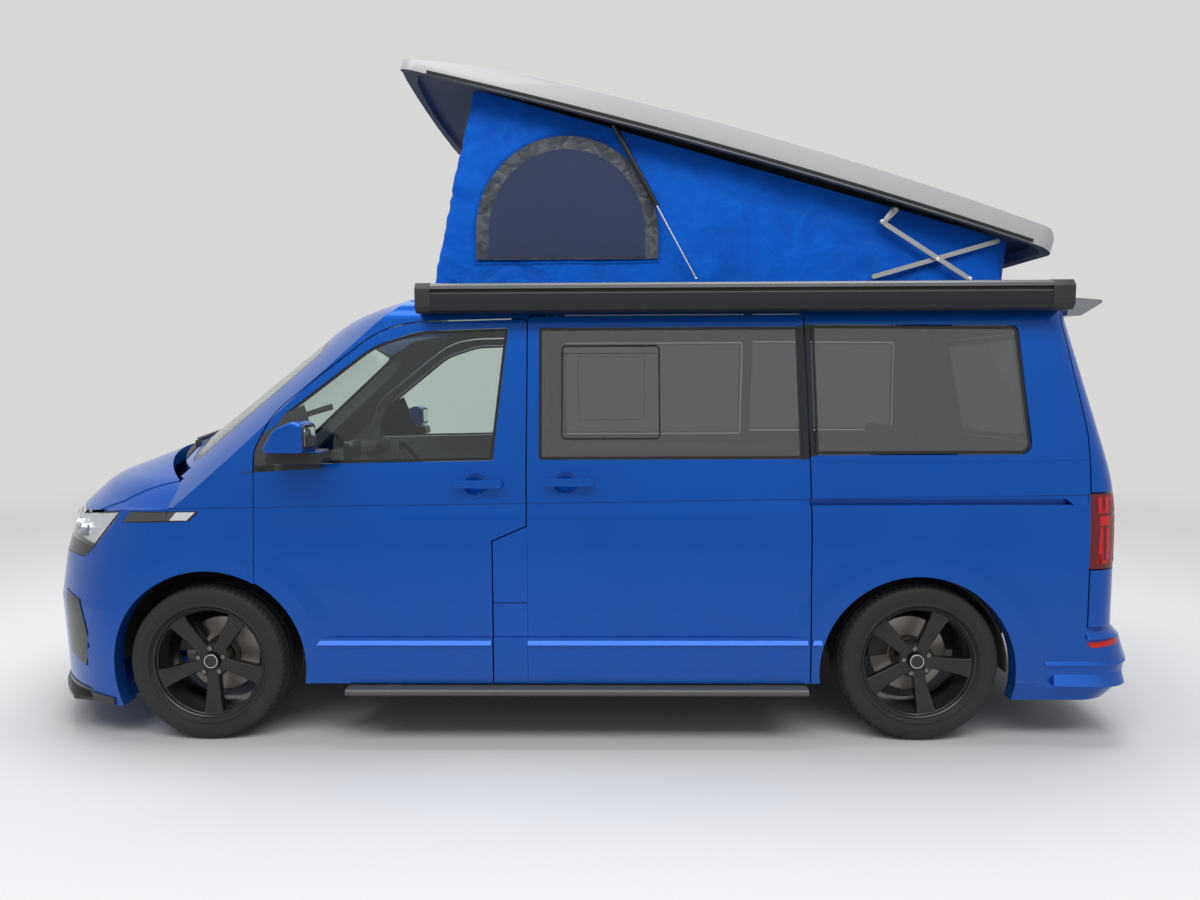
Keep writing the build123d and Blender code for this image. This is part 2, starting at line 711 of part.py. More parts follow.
def shell_hollow():
    """The space under the roof's top panel, in side view."""
    with BuildPart() as hollow:
        with BuildSketch(side_plane):
            with BuildLine():
                ThreePointArc((shell_length - 62, 90 - shell_panel), (1100, 137 - shell_panel), (72, 84 - shell_panel))
                Polyline([(72, 84 - shell_panel), (-50, 30), (-50, -90), (shell_length + 50, -90), (shell_length + 50, 30), (shell_length - 62, 90 - shell_panel)])
            make_face()
        extrude(amount=900, both=True)
    return hollow.part


def shell_plan(inset):
    """Plan outline of the roof, its front edge bowed."""
    half = shell_half - inset
    front_half = half - 130
    with BuildPart() as plan:
        with BuildSketch(plan_plane):
            with BuildLine():
                ThreePointArc((70 + inset, -front_half), (inset, 0), (70 + inset, front_half))
                rounded_path([(70 + inset, front_half, 0), (120 + inset, half, 90), (shell_length - inset, half, 110), (shell_length - inset, 0, 0)])
                rounded_path([(70 + inset, -front_half, 0), (120 + inset, -half, 90), (shell_length - inset, -half, 110), (shell_length - inset, 0, 0)])
            make_face()
        extrude(amount=400)
    return plan.part


with BuildPart() as roof_shell:
    add(shell_profile() & shell_plan(0))
    add(shell_hollow() & shell_plan(shell_rim), mode=Mode.SUBTRACT)

# Fabric tent, open above and below
tent_half = 620.0
tent_cloth = 8.0
tent_foot = frame_top
with BuildPart() as roof_tent:
    with BuildSketch(Plane.XZ):
        Polygon((-583, tent_foot), (1945, tent_foot), (1960, 2118), (-391, 2786), align=None)
    extrude(amount=tent_half, both=True)
    with BuildSketch(Plane.XZ):
        Polygon((-575, tent_foot - 10), (1937, tent_foot - 10), (1952, 2300), (-350, 2980), align=None)
    extrude(amount=tent_half - tent_cloth, both=True, mode=Mode.SUBTRACT)

# Scissor arms at the rear and gas struts at the front of the raised roof
arm_width = 20.0
arm_planes = {"lift": (632.0, 640.0), "stay": (648.0, 656.0)}
stay_foot = (1773.0, 1953.0)
stay_tip = (1388.0, 2200.0)
stay_link = (1443.0, 2251.0)


def link(start, end, near, far, width=arm_width):
    """Flat arm between two points in side view, on both sides."""
    length = sqrt((end[0] - start[0]) ** 2 + (end[1] - start[1]) ** 2)
    angle = degrees(atan2(end[1] - start[1], end[0] - start[0]))
    centre = ((start[0] + end[0]) / 2, (start[1] + end[1]) / 2)
    with BuildPart() as arm:
        for sign in sides.values():
            with BuildSketch(Plane.XZ.offset(-sign * near)):
                with Locations(centre):
                    SlotCenterToCenter(length, width, rotation=angle)
            extrude(amount=-sign * (far - near))
    return arm.part


with BuildPart() as lift_arms:
    add(link(roof_arm_foot, roof_arm_tip, *arm_planes["lift"]))
with BuildPart() as stay_arms:
    add(link(stay_foot, stay_tip, *arm_planes["stay"]))

strut_top = (229.0, 2614.0)
strut_bottom = (585.0, 1962.0)
strut_length = sqrt((strut_bottom[0] - strut_top[0]) ** 2 + (strut_bottom[1] - strut_top[1]) ** 2)
strut_dir = Vector((strut_bottom[0] - strut_top[0]) / strut_length, 0, (strut_bottom[1] - strut_top[1]) / strut_length)
strut_side = 655.0
cylinder_length = 385.0
cylinder_radius = 11.0
cylinder_bore = 10.0
rod_radius = 4.0
with BuildPart() as strut_cylinders:
    for sign in sides.values():
        at = Vector(strut_top[0], sign * strut_side, strut_top[1])
        with BuildSketch(Plane(origin=at, z_dir=strut_dir)):
            Circle(cylinder_radius)
            Circle(cylinder_bore, mode=Mode.SUBTRACT)
        extrude(amount=cylinder_length)
        with Locations(at):
            Sphere(cylinder_radius + 1)
with BuildPart() as strut_rods:
    for sign in sides.values():
        at = Vector(strut_top[0], sign * strut_side, strut_top[1])
        with BuildSketch(Plane(origin=at + strut_dir * (cylinder_length - 12), z_dir=strut_dir)):
            Circle(rod_radius)
        extrude(amount=strut_length - cylinder_length + 12)
        with Locations(at + strut_dir * strut_length):
            Sphere(7)

# Awning case along the left cantrail
with BuildPart() as awning_case:
    with BuildSketch(Plane.YZ.offset(-596)):
        with BuildLine():
            rounded_loop([(-770, 1924, 10), (-885, 1924, 25), (-905, 1860, 40), (-890, 1801, 15), (-780, 1801, 5)])
        make_face()
    extrude(amount=2701)
    add(skin, mode=Mode.SUBTRACT)

# Wheels
rim_half = 112.0
tyre_parts, rim_parts = {}, {}
tyre_profile = [(238, 96, 0), (250, 118, 12), (285, 127.5, 40), (318, 122, 22), (329, 100, 10), (tyre_radius, 0, 0)]
spokes = 5
for end, x in axle_x.items():
    for side, sign in sides.items():
        centre = Plane(origin=(x, sign * track / 2, tyre_radius), x_dir=(1, 0, 0), z_dir=(0, sign, 0))
        with BuildPart() as tyre:
            with BuildSketch(Plane(origin=centre.origin, x_dir=(0, sign, 0), z_dir=(1, 0, 0) if sign > 0 else (-1, 0, 0))):
                with BuildLine():
                    outward = [(half, radius, r) for radius, half, r in tyre_profile]
                    rounded_path(outward)
                    rounded_path([(-half, radius, r) for half, radius, r in outward])
                    Line((-outward[0][0], outward[0][1]), (outward[0][0], outward[0][1]))
                make_face()
            revolve(axis=Axis(centre.origin, (0, 1, 0)))
        tyre_parts[f"tyre_{end}_{side}"] = tyre
        with BuildPart() as rim:
            with BuildSketch(centre.offset(-rim_half)):
                Circle(rim_radius - 5)
                Circle(222, mode=Mode.SUBTRACT)
            extrude(amount=2 * rim_half)
            with BuildSketch(centre.offset(30)):
                Circle(72)
            extrude(amount=50)
            with BuildSketch(centre.offset(30)):
                with PolarLocations(0, spokes, start_angle=54):
                    Polygon((40, -27), (226, -36), (226, 36), (40, 27), align=None)
            extrude(amount=55)
            with BuildSketch(centre.offset(-20)):
                Circle(80)
            extrude(amount=50)
            with BuildSketch(centre.offset(-62)):
                Circle(165)
            extrude(amount=28)
            with BuildSketch(centre.offset(-62)):
                Circle(80)
            extrude(amount=60)
            with BuildSketch(centre.offset(-70)):
                Circle(36)
            extrude(amount=85, mode=Mode.SUBTRACT)
        rim_parts[f"rim_{end}_{side}"] = rim

# Steering knuckles and the rear axle
king_pin = track / 2 - 90
knuckle_parts = {}
for side, sign in sides.items():
    x = axle_x["front"]
    with BuildPart() as knuckle:
        with Locations((x, sign * 700, tyre_radius)):
            Box(90, 50, 170)
        with BuildSketch(Plane(origin=(x, sign * 700, tyre_radius), x_dir=(1, 0, 0), z_dir=(0, sign, 0))):
            Circle(28)
        extrude(amount=118)
        with Locations((x + 120, sign * 712, tyre_radius + 60)):
            Box(60, 50, 120)
        with Locations((x + 70, sign * 700, tyre_radius + 40)):
            Box(80, 26, 40)
    knuckle_parts[side] = knuckle

arm_front_x = axle_x["rear"] - 540
with BuildPart() as rear_axle:
    for sign in sides.values():
        with BuildSketch(Plane(origin=(axle_x["rear"], 0, tyre_radius), x_dir=(1, 0, 0), z_dir=(0, sign, 0))):
            Circle(28)
        extrude(amount=818)
        with Locations((axle_x["rear"], sign * 680, tyre_radius)):
            Box(100, 60, 150)
    with Locations((axle_x["rear"], 0, tyre_radius)):
        Box(150, 1000, 110)
    for sign in sides.values():
        add(block((arm_front_x, sign * 520 - 35, 265), (axle_x["rear"] + 20, sign * 520 + 35, 335)))
        # Coil spring between the axle and the floor
        with BuildSketch(Plane.XY.offset(380)):
            with Locations((axle_x["rear"], sign * 420)):
                Circle(55)
        extrude(amount=floor_low - 380)

# Front structure: bulkhead, rails, wheel liners and the lower arms
liner_outer = 455.0
liner_wall = 8.0
liner_near, liner_far = 450.0, 835.0
bulkhead_x = (-1300.0, -1270.0)
rail_low, rail_high = 300.0, 400.0
bulkhead_top = 1036.0


def liner_cylinder(near, far, radius):
    """Round space over each front wheel, between two distances from the centre line."""
    with BuildPart() as space:
        for sign in sides.values():
            with BuildSketch(Plane.XZ.offset(-sign * near)):
                with Locations((axle_x["front"] + 5, tyre_radius)):
                    Circle(radius)
            extrude(amount=-sign * (far - near))
    return space.part


with BuildPart() as front_frame:
    add(block((bulkhead_x[0], -840, rail_low), (bulkhead_x[1], 840, bulkhead_top)))
    add(liner_cylinder(liner_near, liner_far, liner_outer))
    add(liner_cylinder(liner_near + liner_wall, liner_far + 100, liner_outer - liner_wall), mode=Mode.SUBTRACT)
    add(block((-2100, -1000, -200), (-900, 1000, rail_low)), mode=Mode.SUBTRACT)
    for y in (-300, 300):
        add(block((-2140, y - 45, rail_low), (bulkhead_x[1], y + 45, rail_high)))
    add(block((-1560, -455, rail_low), (-1440, 455, 380)))
    for sign in sides.values():
        with BuildSketch(Plane.XY.offset(320)):
            Polygon((-1560, sign * 440), (-1440, sign * 440), (-1480, sign * 650), (-1520, sign * 650), align=None)
        extrude(amount=25)

# Floor pan: floor, sills with their jacking pads, rear wheel tubs and arm brackets
tub_near = 560.0
tub_wall = 8.0
pad_size, pad_low = 90.0, 240.0
pad_places = [(-950, 830), (940, 830)]


def tub_cylinder(near, far, radius):
    """Round space over each rear wheel, between two distances from the centre line."""
    with BuildPart() as space:
        for sign in sides.values():
            with BuildSketch(Plane.XZ.offset(-sign * near)):
                with Locations((arch_centre_x["rear"], arch_centre_z["rear"])):
                    Circle(radius)
            extrude(amount=-sign * (far - near))
    return space.part


with BuildPart() as floor_pan:
    add(block((bulkhead_x[1], -445, floor_low), (-1040, 445, floor_high)))
    add(block((-1040, -860, floor_low), (1870, 860, floor_high)))
    add(block((1870, -845, floor_low), (bumper_inner_x - 3, 845, floor_high)))
    add(slabs((-1020, 770, sill_low), (1060, 882, floor_low + 10)))
    add(tub_cylinder(tub_near, 880, arch_radius["rear"] - 2))
    add(tub_cylinder(tub_near + tub_wall, 1000, arch_radius["rear"] - 2 - tub_wall), mode=Mode.SUBTRACT)
    add(block((1078, -1000, -200), (1900, 1000, rail_low - 20)), mode=Mode.SUBTRACT)
    add(slabs((1400, tub_near - 10, 200), (1600, tub_near + 20, floor_low - 10)), mode=Mode.SUBTRACT)
    for sign in sides.values():
        add(block((arm_front_x - 60, sign * 520 - 45, 262), (arm_front_x, sign * 520 + 45, floor_low)))
        for x, y in pad_places:
            with BuildSketch(Plane.XY.offset(pad_low)):
                with Locations((x, sign * y)):
                    RectangleRounded(pad_size, pad_size, 8)
            extrude(amount=sill_low + 5 - pad_low)

with BuildPart() as engine:
    with Locations((-1790, 0, 625)):
        Box(520, 560, 450)
    fillet(engine.edges().filter_by(Axis.Z), radius=40)
    with Locations((-1790, 0, 870)):
        Box(440, 460, 60)
    with Locations((-2110, 0, 620)):
        Box(46, 640, 440)

# Cabin
with BuildPart() as dashboard:
    with BuildSketch(Plane.XZ):
        with BuildLine():
            rounded_loop([(-1560, 1100, 0), (-1250, 1150, 60), (-1010, 1080, 60), (-1000, 840, 60), (-1100, 745, 40), (-1240, 740, 0), (-1240, 1040, 0), (-1560, 1060, 0)])
        make_face()
    extrude(amount=800, both=True)
    add(cavity, mode=Mode.INTERSECT)

wheel_tilt = 32.0
wheel_hub = Vector(-905, 400, 1050)
with BuildPart() as steering_wheel:
    face = Plane(origin=wheel_hub, x_dir=(0, 1, 0), z_dir=(-cos(radians(wheel_tilt)), 0, -sin(radians(wheel_tilt))))
    with BuildSketch(face):
        Circle(185)
        Circle(158, mode=Mode.SUBTRACT)
        Rectangle(330, 40)
        Circle(60)
    extrude(amount=26)
    with BuildSketch(face):
        Circle(26)
    extrude(amount=115)
    add(dashboard.part, mode=Mode.SUBTRACT)

with BuildPart() as front_seats:
    for y in (-400, 400):
        with BuildSketch(Plane.XZ.offset(-y - 250)):
            with BuildLine():
                rounded_loop([(-760, 690, 25), (-740, 790, 45), (-330, 760, 20), (-190, 1290, 30), (-170, 1480, 35), (-90, 1480, 35), (-90, 1290, 30), (-210, 700, 60)])
            make_face()
        extrude(amount=500)
        add(block((-660, y - 200, floor_high), (-280, y + 200, 700)))

with BuildPart() as rear_bench:
    with BuildSketch(Plane.XZ.offset(-180)):
        with BuildLine():
            rounded_loop([(1000, 660, 30), (1010, 780, 40), (1450, 760, 20), (1560, 1300, 40), (1680, 1300, 40), (1600, 660, 30)])
        make_face()
    extrude(amount=700)
    add(block((1080, -500, floor_high), (1560, 150, 662)))

with BuildPart() as kitchen_unit:
    add(block((-30, 300, floor_high), (1900, 800, 1120)))
    add(block((1895, -700, 1100), (2100, 800, 1130)))
    add(block((-10, 290, 1120), (1890, 790, 1140)))
    add(block((1000, 500, 0), (1950, 900, 740)), mode=Mode.SUBTRACT)

all_nodes = {
    "body_shell": body_shell,
    "front_wings": front_wings,
    "scuttle": scuttle,
    "bonnet": bonnet,
    "front_door_left": door_parts["left"],
    "front_door_right": door_parts["right"],
    "sliding_door": sliding_door,
    "tailgate": tailgate,
    "tailgate_spoiler": tailgate_spoiler,
    "windscreen": windscreen,
    "front_door_glass_left": door_glass["left"],
    "front_door_glass_right": door_glass["right"],
    "side_glass": side_glass,
    "tailgate_glass": tailgate_glass,
    "mirror_left": mirror_parts["left"],
    "mirror_right": mirror_parts["right"],
    "front_bumper": front_bumper,
    "front_trim": front_trim,
    "rear_bumper": rear_bumper,
    "running_boards": running_boards,
    "headlamps": headlamps,
    "tail_lamps": tail_lamps,
    "roof_frame": roof_frame,
    "roof_shell": roof_shell,
    "roof_tent": roof_tent,
    "lift_arms": lift_arms,
    "stay_arms": stay_arms,
    "strut_cylinders": strut_cylinders,
    "strut_rods": strut_rods,
    "awning_case": awning_case,
    "knuckle_left": knuckle_parts["left"],
    "knuckle_right": knuckle_parts["right"],
    "rear_axle": rear_axle,
    "front_frame": front_frame,
    "floor_pan": floor_pan,
    "engine": engine,
    "dashboard": dashboard,
    "steering_wheel": steering_wheel,
    "front_seats": front_seats,
    "rear_bench": rear_bench,
    "kitchen_unit": kitchen_unit,
    **tyre_parts,
    **rim_parts,
}
for name, node in all_nodes.items():
    node.part.label = name
    export_step(node.part, f"parts/{name}.step")
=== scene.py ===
"""Camper van with a raised roof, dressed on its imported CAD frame."""

import json
import math

import bmesh
import bpy
from mathutils import Matrix, Vector, noise
from mathutils.bvhtree import BVHTree


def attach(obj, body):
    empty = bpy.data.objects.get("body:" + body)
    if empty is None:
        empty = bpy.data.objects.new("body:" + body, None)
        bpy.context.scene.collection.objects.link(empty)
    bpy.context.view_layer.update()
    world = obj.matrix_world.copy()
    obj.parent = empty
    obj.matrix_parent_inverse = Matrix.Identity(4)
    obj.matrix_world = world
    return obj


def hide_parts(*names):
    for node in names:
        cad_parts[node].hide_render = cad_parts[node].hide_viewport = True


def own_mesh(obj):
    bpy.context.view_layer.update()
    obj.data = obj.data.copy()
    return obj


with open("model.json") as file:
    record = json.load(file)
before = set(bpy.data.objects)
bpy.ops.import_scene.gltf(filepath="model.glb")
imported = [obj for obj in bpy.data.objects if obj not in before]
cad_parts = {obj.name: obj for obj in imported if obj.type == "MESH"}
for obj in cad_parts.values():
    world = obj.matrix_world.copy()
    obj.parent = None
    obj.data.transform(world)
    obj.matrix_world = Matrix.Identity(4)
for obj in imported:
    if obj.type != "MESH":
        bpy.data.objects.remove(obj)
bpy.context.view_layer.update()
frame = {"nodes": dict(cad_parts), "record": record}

bl_info = {
    "name": "Camper Van",
    "version": (1, 0, 0),
    "blender": (4, 5, 0),
    "location": "View3D > Sidebar > Camper Van",
    "description": "Dresses a camper van with a raised roof, piece by piece",
    "category": "Add Mesh",
}

SIDES = {"left": -1, "right": 1}
WHEEL_X = {"front": -1.5, "rear": 1.5}
TRACK_HALF = 0.814
TYRE_RADIUS = 0.332
SCREEN_SLOPE = math.radians(38.2)
SCREEN_OUT = Vector((-math.sin(SCREEN_SLOPE), 0.0, math.cos(SCREEN_SLOPE)))
TENT_FOOT_Z = 1.937
RIGHT, REAR, UP = Vector((0.0, 1.0, 0.0)), Vector((1.0, 0.0, 0.0)), Vector((0.0, 0.0, 1.0))


# Shader helpers


def add(nodes, kind, values=None, **settings):
    """New shader node with its settings and the values of its free sockets."""
    node = nodes.new(f"ShaderNode{kind}")
    for name, value in settings.items():
        setattr(node, name, value)
    for socket, value in (values or {}).items():
        node.inputs[socket].default_value = value
    return node


def connect(links, *rows):
    """Link sockets, each row being (node, output, node, input)."""
    for source, output, target, entry in rows:
        links.new(source.outputs[output], target.inputs[entry])


def blend(nodes, first, second):
    """Colour mix of two plain colours."""
    return add(nodes, "Mix", {"A": (*first, 1.0), "B": (*second, 1.0)}, data_type="RGBA")


def new_group(name, inputs, outputs):
    """Node group with named sockets, given as (name, kind, default) and (name, kind)."""
    group = bpy.data.node_groups.new(name, "ShaderNodeTree")
    for socket_name, kind, default in inputs:
        group.interface.new_socket(socket_name, in_out="INPUT", socket_type=kind).default_value = default
    for socket_name, kind in outputs:
        group.interface.new_socket(socket_name, in_out="OUTPUT", socket_type=kind)
    return group, group.nodes.new("NodeGroupInput"), group.nodes.new("NodeGroupOutput")


def grain_group():
    """Fine moulded grain: a bumped normal and a slightly varied roughness."""
    group, start, end = new_group(
        "Moulded grain",
        [("Scale", "NodeSocketFloat", 400.0), ("Depth", "NodeSocketFloat", 0.2), ("Roughness", "NodeSocketFloat", 0.5)],
        [("Normal", "NodeSocketVector"), ("Roughness", "NodeSocketFloat")],
    )
    nodes = group.nodes
    place = add(nodes, "TexCoord")
    cloud = add(nodes, "TexNoise", {"Detail": 3.0})
    bump = add(nodes, "Bump", {"Distance": 0.0004})
    spread = add(nodes, "Math", {1: 0.12}, operation="MULTIPLY_ADD")
    connect(
        group.links, (place, "Object", cloud, "Vector"), (start, "Scale", cloud, "Scale"),
        (cloud, "Fac", bump, "Height"), (start, "Depth", bump, "Strength"), (cloud, "Fac", spread, 0),
        (start, "Roughness", spread, 2), (bump, "Normal", end, "Normal"), (spread, 0, end, "Roughness"),
    )
    return group


def dust_group():
    """Road dust that thickens towards the ground, laid over a colour."""
    group, start, end = new_group(
        "Road dust", [("Color", "NodeSocketColor", (0.1, 0.1, 0.1, 1.0)), ("Amount", "NodeSocketFloat", 0.3)],
        [("Color", "NodeSocketColor")],
    )
    nodes = group.nodes
    place = add(nodes, "TexCoord")
    split = add(nodes, "SeparateXYZ")
    height = add(nodes, "MapRange", {"From Min": 0.15, "From Max": 0.75, "To Min": 1.0, "To Max": 0.0})
    cloud = add(nodes, "TexNoise", {"Scale": 9.0, "Detail": 6.0})
    mask = add(nodes, "Math", operation="MULTIPLY")
    scaled = add(nodes, "Math", operation="MULTIPLY")
    mix = add(nodes, "Mix", {"B": (0.22, 0.2, 0.17, 1.0)}, data_type="RGBA")
    connect(
        group.links, (place, "Object", split, 0), (split, "Z", height, "Value"), (place, "Object", cloud, "Vector"),
        (height, "Result", mask, 0), (cloud, "Fac", mask, 1), (mask, 0, scaled, 0), (start, "Amount", scaled, 1),
        (scaled, 0, mix, "Factor"), (start, "Color", mix, "A"), (mix, "Result", end, "Color"),
    )
    return group


MADE = {}


def shared(name, builder, *values):
    """The node group or material of this name, built once."""
    if name not in MADE:
        MADE[name] = builder(*values)
    return MADE[name]


def base_material(name, colour, roughness=0.5, metallic=0.0, **sockets):
    """Material with one Principled BSDF and the given plain socket values."""
    made = bpy.data.materials.new(name)
    made.use_nodes = True
    shader = made.node_tree.nodes["Principled BSDF"]
    shader.inputs["Base Color"].default_value = (*colour, 1.0)
    shader.inputs["Roughness"].default_value = roughness
    shader.inputs["Metallic"].default_value = metallic
    for socket, value in sockets.items():
        shader.inputs[socket.replace("_", " ")].default_value = value
    return made, made.node_tree.nodes, made.node_tree.links, shader


def car_paint(name, colour, dark, flake=0.35, roughness=0.32, metallic=0.5):
    """Metallic paint: flakes that vary the tone, darker broad drifts and a clear coat."""
    made, nodes, links, shader = base_material(
        name, colour, roughness, metallic, Coat_Weight=0.65, Coat_Roughness=0.03, Coat_IOR=1.34, Specular_IOR_Level=0.08
    )
    place = add(nodes, "TexCoord")
    flakes = add(nodes, "TexVoronoi", {"Scale": 900.0})
    drift = add(nodes, "TexNoise", {"Scale": 1.5})
    mix = blend(nodes, colour, dark)
    amount = add(nodes, "Math", {1: flake}, operation="MULTIPLY_ADD")
    soften = add(nodes, "Math", {1: 0.4}, operation="MULTIPLY")
    dust = add(nodes, "Group", {"Amount": 0.12}, node_tree=shared("Road dust", dust_group))
    connect(
        links, (place, "Object", flakes, "Vector"), (place, "Object", drift, "Vector"),
        (flakes, "Distance", amount, 0), (drift, "Fac", amount, 2), (amount, 0, soften, 0),
        (soften, 0, mix, "Factor"), (mix, "Result", dust, "Color"), (dust, "Color", shader, "Base Color"),
    )
    return made


def moulded(name, colour, roughness=0.55, scale=420.0, depth=0.25, dust=0.2, metallic=0.0):
    """Moulded plastic, rubber or enamel with a fine grain and, where asked, road dust."""
    made, nodes, links, shader = base_material(name, colour, roughness, metallic)
    values = {"Scale": scale, "Depth": depth, "Roughness": roughness}
    grain = add(nodes, "Group", values, node_tree=shared("Moulded grain", grain_group))
    connect(links, (grain, "Normal", shader, "Normal"), (grain, "Roughness", shader, "Roughness"))
    if dust:
        values = {"Color": (*colour, 1.0), "Amount": dust}
        dirt = add(nodes, "Group", values, node_tree=shared("Road dust", dust_group))
        connect(links, (dirt, "Color", shader, "Base Color"))
    return made


def clear(name, colour, mirror=0.0):
    """Glass or lens, its tint very slightly uneven, with a mirror coat where asked."""
    made, nodes, links, shader = base_material(
        name, colour, 0.0, 0.0, Transmission_Weight=1.0, IOR=1.45, Coat_Weight=mirror, Coat_IOR=1.8
    )
    place = add(nodes, "TexCoord")
    cloud = add(nodes, "TexNoise", {"Scale": 1.5})
    mix = blend(nodes, colour, [one * 0.94 for one in colour])
    connect(
        links, (place, "Object", cloud, "Vector"), (cloud, "Fac", mix, "Factor"),
        (mix, "Result", shader, "Base Color"),
    )
    return made


def brushed(name, colour, roughness):
    """Bare or anodised metal with fine drawn lines."""
    made, nodes, links, shader = base_material(name, colour, roughness, 1.0)
    place = add(nodes, "TexCoord")
    mapping = add(nodes, "Mapping", {"Scale": (4.0, 120.0, 120.0)})
    cloud = add(nodes, "TexNoise", {"Scale": 6.0, "Detail": 4.0})
    ramp = add(nodes, "MapRange", {"To Min": roughness - 0.06, "To Max": roughness + 0.12})
    bump = add(nodes, "Bump", {"Strength": 0.06, "Distance": 0.0005})
    connect(
        links, (place, "Object", mapping, "Vector"), (mapping, "Vector", cloud, "Vector"),
        (cloud, "Fac", ramp, "Value"), (ramp, "Result", shader, "Roughness"), (cloud, "Fac", bump, "Height"),
        (bump, "Normal", shader, "Normal"),
    )
    return made


def woven(name, colour, dark, scale, roughness=0.85, sheen=0.3):
    """Coated cloth: two crossed waves for the weave and soft tone changes."""
    made, nodes, links, shader = base_material(name, colour, roughness, Sheen_Weight=sheen, Sheen_Roughness=0.5)
    place = add(nodes, "TexCoord")
    warp = add(nodes, "TexWave", {"Scale": scale}, bands_direction="X")
    weft = add(nodes, "TexWave", {"Scale": scale}, bands_direction="Z")
    both = add(nodes, "Math", operation="MULTIPLY")
    bump = add(nodes, "Bump", {"Strength": 0.25, "Distance": 0.0004})
    cloud = add(nodes, "TexNoise", {"Scale": 4.0, "Detail": 5.0})
    mix = blend(nodes, dark, colour)
    connect(
        links, (place, "Object", warp, "Vector"), (place, "Object", weft, "Vector"),
        (place, "Object", cloud, "Vector"), (warp, "Fac", both, 0), (weft, "Fac", both, 1), (both, 0, bump, "Height"),
        (bump, "Normal", shader, "Normal"), (cloud, "Fac", mix, "Factor"), (mix, "Result", shader, "Base Color"),
    )
    return made


def creased(name, colour, dark, roughness, scale, depth, weave=0.0, gloss=0.5):
    """Coated cloth or film with soft creases and, where asked, a fine weave; the creases' crests are painted lighter
    and their hollows darker, a painted highlight and painted shade.
    """
    made, nodes, links, shader = base_material(name, colour, roughness, Specular_IOR_Level=gloss)
    place = add(nodes, "TexCoord")
    folds = add(nodes, "TexNoise", {"Scale": scale, "Detail": 3.0, "Distortion": 1.6})
    bump = add(nodes, "Bump", {"Strength": 0.8, "Distance": depth})
    mix = blend(nodes, dark, colour)
    # painted shade and painted highlight: the tone follows the same noise as the bump, so crease hollows are darker and
    # crests lighter
    tone = add(nodes, "MapRange", {"From Min": 0.35, "From Max": 0.65})
    connect(
        links, (place, "Object", folds, "Vector"), (folds, "Fac", bump, "Height"), (folds, "Fac", tone, "Value"),
        (tone, "Result", mix, "Factor"), (mix, "Result", shader, "Base Color"),
    )
    last = bump
    if weave:
        threads = add(nodes, "TexWave", {"Scale": weave}, bands_direction="DIAGONAL")
        last = add(nodes, "Bump", {"Strength": 0.15, "Distance": 0.0003})
        connect(
            links, (place, "Object", threads, "Vector"), (threads, "Fac", last, "Height"),
            (bump, "Normal", last, "Normal"),
        )
    connect(links, (last, "Normal", shader, "Normal"))
    return made


def veneer(name, colour, dark):
    """Laminate with long wood grain."""
    made, nodes, links, shader = base_material(name, colour, 0.45)
    place = add(nodes, "TexCoord")
    mapping = add(nodes, "Mapping", {"Scale": (1.2, 14.0, 14.0)})
    cloud = add(nodes, "TexNoise", {"Scale": 3.0, "Detail": 8.0, "Distortion": 0.6})
    mix = blend(nodes, colour, dark)
    connect(
        links, (place, "Object", mapping, "Vector"), (mapping, "Vector", cloud, "Vector"),
        (cloud, "Fac", mix, "Factor"), (mix, "Result", shader, "Base Color"),
    )
    return made


